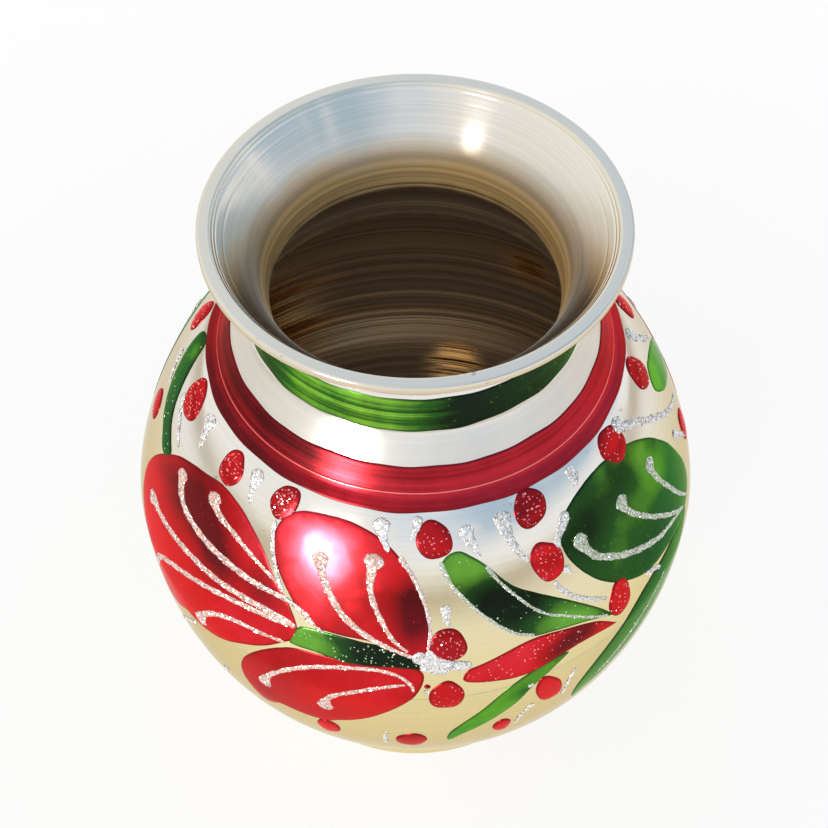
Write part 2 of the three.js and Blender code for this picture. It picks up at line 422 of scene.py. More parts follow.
@dataclass(frozen=True)
class InnerBrass:
    """The inside: pale at the lip, golden down the throat, painted shade under it, and dark below with
    painted glow and glints on its turned ridges.
    """

    name: str = "inner_brass"
    pale: Colour = (0.86, 0.82, 0.75)
    gold: Colour = (0.93, 0.62, 0.26)
    # Painted shade for the hollow inside the collar, under the throat.
    deep: Colour = (0.17, 0.11, 0.06)
    dark: Colour = (0.6, 0.4, 0.23)
    # Gold of the turned ridges, brightened as painted glow where they catch the light.
    ridge_gold_and_glow: Colour = (1.0, 0.68, 0.34)
    glint: Colour = (1.0, 0.52, 0.16)
    line: Colour = (0.16, 0.1, 0.06)
    ridge_rise: float = 0.001
    ridge_pitch: float = 0.0012
    ridge_wander: float = 0.0006
    # Painted glints: places where light mirrored on the ridges is painted in.
    places: tuple[GlintPlace, ...] = (
        GlintPlace((-0.028, 0.037, 0.045), 0.019, 1.5),
        GlintPlace((0.0215, 0.041, 0.059), 0.007, 1.3),
        GlintPlace((0.008, 0.042, 0.0305), 0.007, 1.6),
    )

    def ridge_glow_band(self, face: Surface) -> Socket:
        """Says where the ridges get painted glow all round the bowl, brightest on the left, where the light
        falls.
        """
        high = face.times(face.by_height(0.03, 0.036), face.by_height(0.039, 0.045, 1.0, 0.0))
        return face.times(high, face.spread(face.side, -0.04, 0.04, 0.9, 0.35))

    def spots(self, face: Surface, rings: Socket) -> Socket:
        """Says where the painted glints are brightest, with ends that run out along the rings.

        Args:
            face: the material that is being built.
            rings: its noise of coarse turned rings.

        Returns:
            The socket that says how bright.
        """
        ragged = face.swing(rings, 0.02)
        brightest: Any = 0.0
        for place in self.places:
            away = face.plus(face.vector("DISTANCE", face.place, place.centre), ragged)
            brightest = face.most(brightest, face.spread(away, 0.0, place.reach, place.amount, 0.0))
        return brightest

    def build(self) -> Material:
        """Makes the material.

        Returns:
            The material.
        """
        face = Surface(self.name)
        turned = face.turning(self.ridge_wander)
        lines = face.noise(turned, 900.0, 4.0, 0.75)
        rings = face.noise(turned, 330.0, 4.0, 0.65)
        level = face.plus(face.height, face.swing(face.noise(face.place, 120.0, 3.0), 0.004))
        # The deep stops are painted shade in the hollow under the throat.
        stops = [(0.0, self.dark), (0.74, self.dark), (0.765, self.deep), (0.855, self.deep)]
        stops += [(0.872, self.gold), (0.895, self.gold), (0.942, self.pale), (1.0, self.pale)]
        colour = face.ramp(face.math("DIVIDE", level, POT_HEIGHT), stops)
        below = face.by_height(0.096, 0.098, 1.0, 0.0)
        streak = face.times(face.spread(rings, 0.56, 0.68, 0.0, 0.6), below)
        # Painted glints, each brightest at its centre.
        spots = self.spots(face, rings)
        # Painted glow on the band of ridges and painted glints, which also make those ridges smoother and
        # more metallic.
        bright = face.times(face.most(self.ridge_glow_band(face), spots), below)
        # The streaks, the band and the glints take the ridge gold, partly as painted glow.
        colour = face.blend(face.most(streak, bright), colour, self.ridge_gold_and_glow)
        colour = face.blend(spots, colour, self.glint)
        shade = face.times(face.spread(lines, 0.38, 0.66, 0.65, 0.0), face.by_height(0.096, 0.107, 1.0, 0.2))
        colour = face.blend(shade, colour, self.line)
        rough = face.plus(face.by_height(0.1, 0.1115, 0.42, 0.12), face.times(lines, 0.06))
        rough = face.math("SUBTRACT", rough, face.times(bright, 0.2))
        scored = face.times(face.by_height(0.0985, 0.1035, 1.0, 0.0), face.noise(turned, 700.0, 1.0))
        normal = face.bump(scored, 0.0003, face.bump(lines, 0.000003, face.bump(rings, 0.00002)))
        drift = face.times(face.noise(face.place, 22.0, 1.0), self.ridge_wander)
        saw = face.math("FRACT", face.math("DIVIDE", face.plus(face.height, drift), -self.ridge_pitch))
        steep = face.times(below, face.spread(rings, 0.38, 0.6, 0.55, 1.0))
        normal = face.bump(face.swing(saw, steep), self.ridge_rise, normal)
        metal = face.most(face.by_height(0.084, 0.087, 0.12, 0.0), face.by_height(0.0965, 0.0975))
        metal = face.most(metal, bright)
        face.set(Base_Color=colour, Metallic=metal, Roughness=rough, Normal=normal, Specular_IOR_Level=0.15)
        face.turned_blur(0.9)
        return face.material


@dataclass(frozen=True)
class BrazingMetal:
    """Brazing metal, filed flush and buffed."""

    name: str = "buffed_braze"
    bright: Colour = (0.74, 0.64, 0.38)
    dull: Colour = (0.6, 0.5, 0.3)

    def build(self) -> Material:
        """Makes the material.

        Returns:
            The material.
        """
        face = Surface(self.name)
        grain = face.noise(face.place, 900.0, 4.0, 0.7)
        colour = face.blend(face.spread(grain, 0.3, 0.7), self.bright, self.dull)
        rough = face.spread(grain, 0.3, 0.8, 0.16, 0.4)
        face.set(Base_Color=colour, Metallic=1.0, Roughness=rough, Normal=face.bump(grain, 0.00001))
        return face.material


@dataclass(frozen=True)
class Lacquer:
    """Glossy translucent lacquer that lets the brass shine through, darker where it lies thick and where
    shade is painted, paler where light is painted.

    The streaks are the marks of a brush held to the turning pot, and 0 for painting by hand.
    """

    name: str
    light: Colour
    full: Colour
    deep: Colour
    edge: Colour
    streaks: float = 0.0

    def build(self) -> Material:
        """Makes the material.

        Returns:
            The material.
        """
        face = Surface(self.name)
        brushed = face.noise(face.place, 160.0, 4.0, 0.6)
        # This depth of colour carries the lacquer's thickness together with the painted light and shade of
        # the shapes and bands.
        pool = face.plus(face.attribute("pool"), face.swing(brushed, 0.55))
        haze = 0.0
        if self.streaks:
            lines = face.noise(face.turning(0.0005), 900.0, 3.0, 0.7)
            pool = face.plus(pool, face.swing(lines, self.streaks))
            haze = 0.12
            face.turned_blur(0.6)
        colour = face.ramp(pool, [(0.0, self.light), (0.42, self.full), (1.0, self.deep)])
        colour = face.blend(face.spread(face.attribute("rim"), 0.12, 0.55, 0.6, 0.0), colour, self.deep)
        specks = face.spread(face.noise(face.place, 1500.0, 1.0), 0.7, 0.76, 0.0, 0.35)
        colour = face.blend(specks, colour, self.light)
        # Far below zero the lacquer is painted pale: thin lacquer with a painted highlight on the bands' step
        # ridge, and painted light on the shapes.
        colour = face.blend(face.spread(face.attribute("pool"), -0.3, -0.9), colour, self.edge)
        rough = face.spread(face.noise(face.place, 300.0, 3.0), 0.35, 0.75, 0.14 + haze, 0.26 + haze)
        waves = face.bump(face.noise(face.place, 130.0, 2.0), 0.00006)
        face.set(Base_Color=colour, Metallic=0.96, Roughness=rough, Normal=face.bump(brushed, 0.00001, waves))
        face.set(Specular_Tint=self.edge, Coat_Weight=0.2, Coat_Roughness=0.3, Coat_IOR=1.5)
        return face.material


@dataclass(frozen=True)
class Glitter:
    """Silver glitter in clear gel, tinted by the paint that it lies on."""

    name: str
    silver: Colour
    on_red: Colour
    on_green: Colour
    shadow: Colour
    metallic: float
    roughness: float
    grain: float = 3600.0
    contrast: float = 0.75
    tilt: float = 0.9
    shine: float = 0.6
    spark: Colour = (1.0, 1.0, 1.0)

    def build(self) -> Material:
        """Makes the material.

        Returns:
            The material.
        """
        face = Surface(self.name)
        stops = [(0.0, self.on_green), (0.5, self.silver), (1.0, self.on_red)]
        colour = face.ramp(face.spread(face.attribute("tint"), -1.0, 1.0), stops)
        cells = face.add("ShaderNodeTexVoronoi", {"Vector": face.place, "Scale": self.grain}).outputs["Color"]
        chance = face.add("ShaderNodeSeparateColor", {0: cells}).outputs["Red"]
        colour = face.blend(face.spread(chance, 0.55, 0.3, 0.0, self.contrast), colour, self.shadow)
        spark = face.most(face.spread(chance, 0.7, 0.85), face.times(face.attribute("spark"), self.shine))
        colour = face.blend(face.times(spark, 0.7), colour, self.spark)
        facets = face.vector("SUBTRACT", cells, (0.5, 0.5, 0.5))
        lean = face.vector("MULTIPLY", facets, (self.tilt,) * 3)
        straight = face.add("ShaderNodeNewGeometry").outputs["Normal"]
        normal = face.vector("NORMALIZE", face.vector("ADD", straight, lean))
        face.set(Base_Color=colour, Metallic=self.metallic, Roughness=self.roughness, Normal=normal)
        face.set(Coat_Weight=0.3, Coat_Roughness=0.12)
        return face.material


@dataclass(frozen=True)
class FlakeGlitter(Glitter):
    """Loose flakes, which are far larger than the grains in the gel."""

    metallic: float = 1.0
    roughness: float = 0.18
    grain: float = 900.0
    contrast: float = 0.3
    tilt: float = 0.2
    shine: float = 0.35


ON_RED, ON_GREEN = (1.0, 0.25, 0.22), (0.45, 0.85, 0.3)
RED = Lacquer("red_lacquer", (0.88, 0.034, 0.058), (0.6, 0.008, 0.012), (0.13, 0.002, 0.006), ON_RED)
GREEN = Lacquer("green_lacquer", (0.13, 0.37, 0.035), (0.012, 0.068, 0.01), (0.002, 0.01, 0.003), ON_GREEN)
RED_BAND = Lacquer(
    "red_band_lacquer", (0.54, 0.018, 0.034), (0.35, 0.007, 0.014), (0.09, 0.002, 0.005), ON_RED,
    streaks=1.7,
)
GREEN_BAND = Lacquer(
    "green_band_lacquer", (0.25, 0.6, 0.05), (0.022, 0.13, 0.01), (0.001, 0.007, 0.002), ON_GREEN,
    streaks=1.8,
)
GEL = Glitter(
    "glitter_gel", (0.82, 0.82, 0.83), (0.84, 0.44, 0.33), (0.42, 0.52, 0.34), (0.4, 0.36, 0.32),
    metallic=0.7, roughness=0.22, shine=0.0,
)
FLAKES = FlakeGlitter(
    "glitter_flakes", (0.88, 0.88, 0.89), (0.95, 0.6, 0.55), (0.66, 0.74, 0.58), (0.5, 0.48, 0.46),
    roughness=0.16, shine=0.6,
)
RED_FLAKES = FlakeGlitter("red_flakes", *[(0.95, 0.3, 0.32)] * 3, (0.6, 0.05, 0.07), spark=(1.0, 0.6, 0.62))
GREEN_FLAKES = FlakeGlitter(
    "green_flakes", *[(0.5, 0.75, 0.4)] * 3, (0.1, 0.3, 0.08), spark=(0.75, 0.95, 0.6)
)


# The pot's outline


@dataclass(frozen=True)
class Quarter:
    """A rounded quarter of an outline: level at its start, upright at its end, flatter with more power."""

    start: Point
    end: Point
    power: float

    def point(self, angle: float) -> Point:
        """Gives a point of the outline.

        Args:
            angle: from 0 at the start to a right angle at the end.

        Returns:
            The point.
        """
        across = max(math.sin(angle), 0.0) ** self.power
        along = max(math.cos(angle), 0.0) ** self.power
        radius = self.start[0] + (self.end[0] - self.start[0]) * across
        return radius, self.end[1] + (self.start[1] - self.end[1]) * along

    def angle_at_radius(self, radius: float) -> float:
        """Gives the angle at which the outline has this radius."""
        share = (radius - self.start[0]) / (self.end[0] - self.start[0])
        return math.asin(share ** (1 / self.power))

    def angle_at_height(self, height: float) -> float:
        """Gives the angle at which the outline has this height."""
        share = (height - self.end[1]) / (self.start[1] - self.end[1])
        return math.acos(share ** (1 / self.power))

    def at_radius(self, radius: float) -> Point:
        """Gives the point at which the outline has this radius."""
        return self.point(self.angle_at_radius(radius))

    def at_height(self, height: float) -> Point:
        """Gives the point at which the outline has this height."""
        return self.point(self.angle_at_height(height))

    def run(self, first: float, last: float, steps: int = 400) -> list[Point]:
        """Gives finely spaced points between two angles, both included."""
        return [self.point(first + (last - first) * i / steps) for i in range(steps + 1)]


@dataclass(frozen=True)
class PotForm:
    """The sizes that all turned pieces share. The bare belly leaves room for the paint on it."""

    height: float = 113.5
    mouth_radius: float = 33.0
    lip_width: float = 1.6
    lip_edge: float = 0.4
    lip_thickness: float = 1.5
    flare_depth: float = 9.2
    flare_power: float = 1.5
    neck_radius: float = 26.6
    neck_bottom: float = 95.9
    throat_step: float = 3.7
    throat_rise: float = 2.4
    throat_land: float = 0.8
    bend: Point = (-2.1, 1.0)
    seat_height: float = 86.7
    collar_radius: float = 31.9
    collar_edge: float = 0.5
    opening_radius: float = 29.8
    spigot_radius: float = 28.8
    spigot_depth: float = 1.6
    wall: float = 1.1
    belly_radius: float = 48.27
    girth_height: float = 53.6
    girth_lap: float = 3.0
    groove: float = 0.16
    shoulder_power: float = 1.42
    bowl_power: float = 0.955
    floor_height: float = 3.0
    foot_radius: float = 29.7
    foot_flare: float = 0.7
    foot_height: float = 8.5
    foot_wall: float = 2.6

    @property
    def neck_top(self) -> float:
        """Height at which the flare starts."""
        return self.height - self.flare_depth

    @property
    def foot_seat(self) -> float:
        """Outside radius of the foot ring where it meets the bowl."""
        return self.foot_radius - self.foot_flare

    @property
    def foot_bore(self) -> float:
        """Inside radius of the foot ring."""
        return self.foot_seat - self.foot_wall

    @property
    def lap_radius(self) -> float:
        """Radius of the lap between the two halves of the body."""
        return self.belly_radius - self.wall / 2

    @property
    def collar_slope(self) -> float:
        """How much the collar widens for each millimetre down."""
        drop = self.neck_bottom - self.seat_height - self.collar_edge
        return (self.collar_radius - self.neck_radius) / drop

    def shoulder(self, inset: float = 0.0) -> Quarter:
        """Gives the shoulder's outline, moved inwards by a wall where asked."""
        start = (self.collar_radius, self.seat_height - inset)
        return Quarter(start, (self.belly_radius - inset, self.girth_height), self.shoulder_power)

    def bowl(self, inset: float = 0.0) -> Quarter:
        """Gives the bowl's outline, which passes through the seat of the foot.

        Args:
            inset: how far the outline is moved inwards.

        Returns:
            The outline.
        """
        angle = math.asin((self.foot_seat / self.belly_radius) ** (1 / self.bowl_power))
        depth = (self.girth_height - self.foot_height) / math.cos(angle) ** self.bowl_power
        start = (0.0, self.girth_height - depth + inset)
        return Quarter(start, (self.belly_radius - inset, self.girth_height), self.bowl_power)

    def flare(self) -> Quarter:
        """Gives the underside of the flared mouth, from the lip to the neck."""
        start = (self.mouth_radius - self.lip_edge, self.height - self.lip_thickness)
        return Quarter(start, (self.neck_radius, self.neck_top), self.flare_power)

    def funnel(self, steps: int = 200) -> list[Point]:
        """Gives the inside of the mouth, which steepens from the lip down to the throat.

        Args:
            steps: how many points it gets.

        Returns:
            The points, from the throat up.
        """
        throat = np.array((self.neck_radius - self.throat_step, self.neck_bottom + self.throat_rise))
        bend = np.array((self.neck_radius + self.bend[0], self.neck_top + self.bend[1]))
        lip = np.array((self.mouth_radius - self.lip_edge - self.lip_width, self.height))
        way = np.linspace(0, 1, steps)[:, None]
        return [tuple(p) for p in (1 - way) ** 3 * throat + 3 * way * (1 - way) * bend + way**3 * lip]

    def collar(self, height: float) -> Point:
        """Gives the point on the outside of the sloping collar at a height."""
        return self.neck_radius + (self.neck_bottom - height) * self.collar_slope, height

    def collar_inside(self, radius: float) -> Point:
        """Gives the point on the inside of the sloping collar at a radius."""
        thickness = self.wall * math.hypot(1, self.collar_slope)
        return radius, self.neck_bottom - (radius + thickness - self.neck_radius) / self.collar_slope


def rounded(corners: Sequence[tuple[float, float, float]], steps: int = 7) -> list[Point]:
    """Rounds the corners of a line.

    Args:
        corners: radius, height and size of the rounding of each corner; the ends stay as they are.
        steps: how many points each rounding gets.

    Returns:
        The points of the line.
    """
    points: list[Point] = [corners[0][:2]]
    for before, here, after in zip(corners, corners[1:], corners[2:]):
        centre = np.array(here[:2])
        if not here[2]:
            points.append(here[:2])
            continue
        ends = []
        for other in (before, after):
            away = np.array(other[:2]) - centre
            ends.append(centre + away / np.hypot(*away) * here[2])
        for share in np.linspace(0, 1, steps):
            bend = (1 - share) ** 2 * ends[0] + 2 * share * (1 - share) * centre + share**2 * ends[1]
            points.append(tuple(bend))
    points.append(corners[-1][:2])
    return points


def walked(line: np.ndarray) -> np.ndarray:
    """Says how far along a line each of its points lies."""
    return np.r_[0, np.cumsum(np.hypot.reduce(np.diff(line, axis=0), axis=1))]


def along(at: np.ndarray, way: np.ndarray, rows: np.ndarray) -> np.ndarray:
    """Reads pairs of values between rows: where on a line to read, how far along each row is, the rows."""
    return np.stack([np.interp(at, way, column) for column in rows.T], -1)


def leftward(line: np.ndarray, way: np.ndarray) -> np.ndarray:
    """Gives the direction square to a line at each of its points, to the outside of one that runs down."""
    slope = np.gradient(line, way, axis=0)
    return np.stack([-slope[:, 1], slope[:, 0]], 1)


def even(points: Sequence[Point], spacing: float) -> np.ndarray:
    """Spaces the points of a line evenly.

    Args:
        points: the line.
        spacing: about how far apart the new points are.

    Returns:
        The new points, one in each row, with the first and last kept.
    """
    line = np.array(points, float)
    line = line[np.r_[True, np.diff(walked(line)) > 1e-9]]
    way = walked(line)
    count = max(int(round(way[-1] / spacing)), 1)
    return along(np.linspace(0, way[-1], count + 1), way, line)


class Side(Enum):
    """The side of a wall that a stretch of outline is on."""

    OUTSIDE = 0.0
    INSIDE = 1.0


@dataclass
class Outline:
    """The cross-section of a turned piece, as stretches that follow each other."""

    points: np.ndarray
    inside: np.ndarray
    closed: bool = True

    @staticmethod
    def of(stretches: Sequence[tuple[np.ndarray, Side]], closed: bool = True) -> "Outline":
        """Joins stretches into one outline.

        Args:
            stretches: each stretch's points and the side that it is on.
            closed: whether the last point joins the first.

        Returns:
            The outline, without doubled points.
        """
        points = np.concatenate([stretch for stretch, _ in stretches])
        inside = np.concatenate([np.full(len(stretch), side.value) for stretch, side in stretches])
        keep = np.hypot(*(points - np.roll(points, 1, 0)).T) > 1e-6
        if not closed:
            keep[0] = True
        return Outline(points[keep], inside[keep], closed)


# Turning on the lathe


class Lathe(Tool):
    """Turns outlines into pieces, by sweeping each round a ring."""

    ring_radius = 0.05
    sharp_angle = 40.0

    def __init__(self) -> None:
        """Builds the tree, with one finish outside and one inside."""
        inputs = {"Steps round": "Int", "Outer finish": "Material", "Inner finish": "Material"}
        super().__init__("turned_piece", inputs)
        line = self.out("GeometryNodeMeshToCurve", {0: self.source["Base"]})
        values = {"Resolution": self.source["Steps round"], "Radius": self.ring_radius}
        ring = self.out("GeometryNodeCurvePrimitiveCircle", values)
        swept = self.out("GeometryNodeCurveToMesh", {"Curve": ring, "Profile Curve": line})
        merged = self.out("GeometryNodeMergeByDistance", {"Geometry": swept, "Distance": 1e-6})
        outer = self.dressed(self.out("GeometryNodeSetShadeSmooth", {"Geometry": merged}), "Outer finish")
        values = {0: self.carried("inside"), 1: 0.5}
        within = self.out("FunctionNodeCompare", values, data_type="FLOAT", operation="GREATER_THAN")
        values = {"Geometry": outer, "Selection": within, "Material": self.source["Inner finish"]}
        self.add("NodeGroupOutput", {0: self.out("GeometryNodeSetMaterial", values)})

    def turn(
        self, name: str, outline: Outline, outer: Material, inner: Material | None = None, steps: int = 288
    ) -> Piece:
        """Turns one piece.

        Args:
            name: the piece's name.
            outline: its cross-section.
            outer: the finish of the outside.
            inner: the finish of the inside, or None where it is the same.
            steps: how many faces go round.

        Returns:
            The piece, as a plain mesh.
        """
        count = len(outline.points)
        places = [(radius * MM - self.ring_radius, -height * MM, 0.0) for radius, height in outline.points]
        edges = [(i, (i + 1) % count) for i in range(count if outline.closed else count - 1)]
        mesh = bpy.data.meshes.new(name + "_outline")
        mesh.from_pydata(places, edges, [])
        carry(mesh, "inside", outline.inside)
        values = {"Steps round": steps, "Outer finish": outer, "Inner finish": inner or outer}
        piece = self.made(name, mesh, values)
        facing_out(piece.data)
        piece.data.set_sharp_from_angle(angle=math.radians(self.sharp_angle))
        return piece


@dataclass
class Metalwork:
    """The brass pieces of the pot and the brazing metal that joins them."""

    form: PotForm
    lathe: Lathe
    outer: Material
    inner: Material
    groove_places: tuple[float, ...] = (30.62, 30.2, 29.1)
    groove_depths: tuple[float, ...] = (0.1, 0.085, 0.035)
    groove_width: float = 0.1
    under_lip: float = 0.3
    joint_height: float = 90.0
    girth_bulge: float = 0.004
    body_steps: int = 320

    def scored(self, line: np.ndarray) -> np.ndarray:
        """Cuts the fine turned grooves into the upper side of the mouth.

        Args:
            line: the upper side's outline.

        Returns:
            The outline with the grooves.
        """
        cut = line.copy()
        for place, depth in zip(self.groove_places, self.groove_depths):
            cut[:, 1] -= depth * np.exp(-(((line[:, 0] - place) / self.groove_width) ** 2))
        return cut

    def mouth(self) -> None:
        """Makes the flared mouth with its lip, the neck and the collar."""
        form = self.form
        top, low = form.height, form.height - form.lip_thickness
        flare, funnel = form.flare(), form.funnel()
        start = flare.start[0] - self.under_lip
        lip = [(*funnel[-4], 0), (*funnel[-1], 0.25), (form.mouth_radius, top, 0.42)]
        lip += [(form.mouth_radius, low, 0.4), (start, low, 0)]
        under = [point for point in flare.run(0, UPRIGHT) if point[0] < start]
        joint = (*form.collar(self.joint_height), 0)
        neck = [(form.neck_radius, form.neck_top, 0), (form.neck_radius, form.neck_bottom, 0.5), joint]
        edge = (*form.collar(form.seat_height + form.collar_edge), 0.2)
        foot = [joint, edge, (form.collar_radius, form.seat_height, 0)]
        spigot = (form.spigot_radius, form.seat_height - form.spigot_depth)
        hidden = [(form.opening_radius, form.seat_height), (form.opening_radius, spigot[1]), spigot]
        throat, brink = funnel[0]
        bead = [(*form.collar_inside(form.neck_radius - form.wall), 0)]
        bead += [(throat, brink - form.throat_land - 0.1, 0.4), (throat, brink - 0.05, 0.35)]
        bead = rounded([*bead, (throat + 0.2, brink, 0)])
        inside = [spigot, form.collar_inside(form.spigot_radius), bead[0]]
        stretches = [
            (even(rounded(lip), 0.12), Side.OUTSIDE),
            (even(under, 0.4), Side.OUTSIDE),
            (even(rounded(neck), 0.45), Side.OUTSIDE),
            (even(rounded(foot), 0.3), Side.OUTSIDE),
            (np.array(hidden), Side.OUTSIDE),
            (even(inside, 0.7), Side.INSIDE),
            (even(bead, 0.12), Side.INSIDE),
            (self.scored(even(funnel[4:-4], 0.13)), Side.INSIDE),
        ]
        piece = self.lathe.turn("mouth_lip_and_neck", Outline.of(stretches), self.outer, self.inner)
        finished(piece, "brass", "mouth_and_neck")

    def shoulder(self) -> None:
        """Makes the upper half of the body."""
        form = self.form
        skin, lining = form.shoulder(), form.shoulder(form.wall)
        groove = skin.angle_at_height(form.girth_height + form.groove)
        lap_bottom = form.girth_height - form.girth_lap
        seat = [(form.opening_radius, form.seat_height - form.wall), (form.opening_radius, form.seat_height)]
        lap = [(form.lap_radius, form.girth_height), (form.lap_radius, lap_bottom)]
        tongue = [form.bowl(form.wall).at_height(lap_bottom), lining.point(UPRIGHT)]
        stretches = [
            (np.array(seat), Side.OUTSIDE),
            (even(skin.run(0, groove), 0.5), Side.OUTSIDE),
            (np.array(lap), Side.OUTSIDE),
            (even(tongue, 0.8), Side.INSIDE),
            (even(lining.run(UPRIGHT, 0), 0.8), Side.INSIDE),
        ]
        outline = Outline.of(stretches)
        piece = self.lathe.turn("shoulder_and_upper_belly", outline, self.outer, self.inner, self.body_steps)
        finished(piece, "brass", "upper_body")

    def bowl(self) -> None:
        """Makes the lower half of the body with its flat floor."""
        form = self.form
        skin, lining = form.bowl(), form.bowl(form.wall)
        groove = skin.angle_at_height(form.girth_height - form.groove)
        seat = skin.angle_at_radius(form.foot_seat)
        floor_top, lap_bottom = form.floor_height + form.wall, form.girth_height - form.girth_lap
        floor_edge, lap = lining.angle_at_height(floor_top), lining.angle_at_height(lap_bottom)
        under = [skin.at_radius(form.foot_bore), skin.at_height(form.floor_height), (0.0, form.floor_height)]
        rebate = [(form.lap_radius, lap_bottom), (form.lap_radius, form.girth_height)]
        stretches = [
            (even([(0.0, floor_top), lining.point(floor_edge)], 1.2), Side.INSIDE),
            (even(lining.run(floor_edge, lap), 0.9), Side.INSIDE),
            (np.array(rebate), Side.OUTSIDE),
            (even(skin.run(groove, seat), 0.6), Side.OUTSIDE),
            (even(under, 1.2), Side.OUTSIDE),
        ]
        outline = Outline.of(stretches, False)
        piece = self.lathe.turn("lower_belly", outline, self.outer, self.inner, self.body_steps)
        finished(piece, "brass", "lower_bowl")

    def foot(self) -> None:
        """Makes the foot ring."""
        form = self.form
        top, inner_top = form.bowl().at_radius(form.foot_seat), form.bowl().at_radius(form.foot_bore)
        middle = ((form.foot_seat + form.foot_bore) / 2, top[1])
        ring = [
            (*inner_top, 0),
            (form.foot_bore, 0.0, 0.3),
            (form.foot_radius, 0.0, 0.35),
            (form.foot_radius - 0.1, 1.6, 0.3),
            (form.foot_seat + 0.15, 2.2, 0.3),
            (*top, 0),
        ]
        stretches = [(even(rounded(ring), 0.25), Side.OUTSIDE), (np.array([middle, inner_top]), Side.OUTSIDE)]
        piece = self.lathe.turn("foot_ring_turned", Outline.of(stretches), self.outer)
        finished(piece, "brass", "foot_ring")

    def brazing(self, finish: Material) -> None:
        """Makes the three seams of brazing metal.

        Args:
            finish: the brazing metal's finish.
        """
        form = self.form
        skin, bowl = form.shoulder(), form.bowl()
        low, high = form.seat_height, form.seat_height + form.collar_edge
        corner = skin.at_radius(form.collar_radius + form.collar_edge)
        neck = [(form.collar_radius, low), corner, (form.collar_radius, high)]
        girth = [
            (form.lap_radius, form.girth_height),
            bowl.at_height(form.girth_height - form.groove),
            (form.belly_radius + self.girth_bulge, form.girth_height),
            skin.at_height(form.girth_height + form.groove),
        ]
        bore, inner = bowl.at_radius(form.foot_bore), bowl.at_radius(form.foot_bore - form.collar_edge)
        foot = [bore, inner, (form.foot_bore, bore[1] - form.collar_edge)]
        for place, corners, soft in (("neck", neck, 0.12), ("girth", girth, 0.08), ("foot", foot, 0.12)):
            ring = rounded([(*point, soft) for point in (corners[-1], *corners, corners[0])])[1:-1]
            outline = Outline.of([(even(ring, 0.1), Side.OUTSIDE)])
            seam = self.lathe.turn(f"{place}_seam_braze", outline, finish)
            finished(seam, "brazing_metal", f"{place}_braze")


# Meshes of paint


THINNEST = 0.02
SUNK = 0.05


def coat_rise(gap: np.ndarray, thickness: float, rounding: float = 0.4) -> np.ndarray:
    """Gives a coat's thickness at some distances from its edge, which is rounded off."""
    return THINNEST + (thickness - THINNEST) * np.sin(np.clip(gap / rounding, 0, 1) * UPRIGHT)


class Coat:
    """A mesh of paint that gathers its points, faces and numbers before it is made."""

    def __init__(self) -> None:
        """Starts empty."""
        self.points: list[np.ndarray] = []
        self.faces: list[tuple[int, ...]] = []
        self.numbers: dict[str, list[np.ndarray]] = {"rim": [], "pool": [], "fleck": []}
        self.count = 0

    def gather(self, points: np.ndarray, faces: Iterable[Sequence[int]], **numbers: np.ndarray) -> None:
        """Adds one closed shape.

        Args:
            points: its points, in millimetres.
            faces: its faces, as rows of point numbers within the shape.
            numbers: one value at each point for the rim, for the depth of colour with its painted light and
                shade, and for fleck.
        """
        self.points.append(points)
        self.faces += [tuple(int(i) + self.count for i in face) for face in faces]
        for name, rows in self.numbers.items():
            rows.append(np.asarray(numbers[name], float))
        self.count += len(points)

    def made(self, name: str, finish: Material) -> Piece:
        """Turns what was gathered into one piece.

        Args:
            name: the piece's name.
            finish: its finish.

        Returns:
            The piece.
        """
        mesh = bpy.data.meshes.new(name)
        mesh.from_pydata((np.concatenate(self.points) * MM).tolist(), [], self.faces)
        for key, rows in self.numbers.items():
            carry(mesh, key, np.concatenate(rows))
        mesh.materials.append(finish)
        mesh.shade_smooth()
        facing_out(mesh)
        return placed(name, mesh)


def around(points: np.ndarray, azimuths: np.ndarray) -> np.ndarray:
    """Swings pairs of radius and height round the axis to points in space, by azimuths in radians."""
    radius, height = points[..., 0], points[..., 1]
    return np.stack([radius * np.sin(azimuths), -radius * np.cos(azimuths), height], -1)


def smooth_line(points: np.ndarray, spacing: float, closed: bool = False) -> np.ndarray:
    """Runs a smooth curve through points; a doubled point makes a corner.

    Args:
        points: the points, one in each row.
        spacing: about how far apart the new points are.
        closed: whether the curve comes back to its start.

    Returns:
        The points of the curve; a closed one doesn't repeat its first point.
    """
    ends = (points[-1:], points[:2]) if closed else (points[:1], points[-1:])
    padded = np.concatenate([ends[0], points, ends[1]])
    curve = []
    for before, here, there, after in zip(padded, padded[1:], padded[2:], padded[3:]):
        length = float(np.hypot(*(there - here)))
        if length < 1e-6:
            continue
        count = max(int(round(length / spacing)), 1)
        for share in np.arange(count) / count:
            point = 2 * here + (there - before) * share
            point = point + (2 * before - 5 * here + 4 * there - after) * share**2
            curve.append((point + (3 * here - before - 3 * there + after) * share**3) / 2)
    if not closed:
        curve.append(points[-1])
    return np.array(curve)


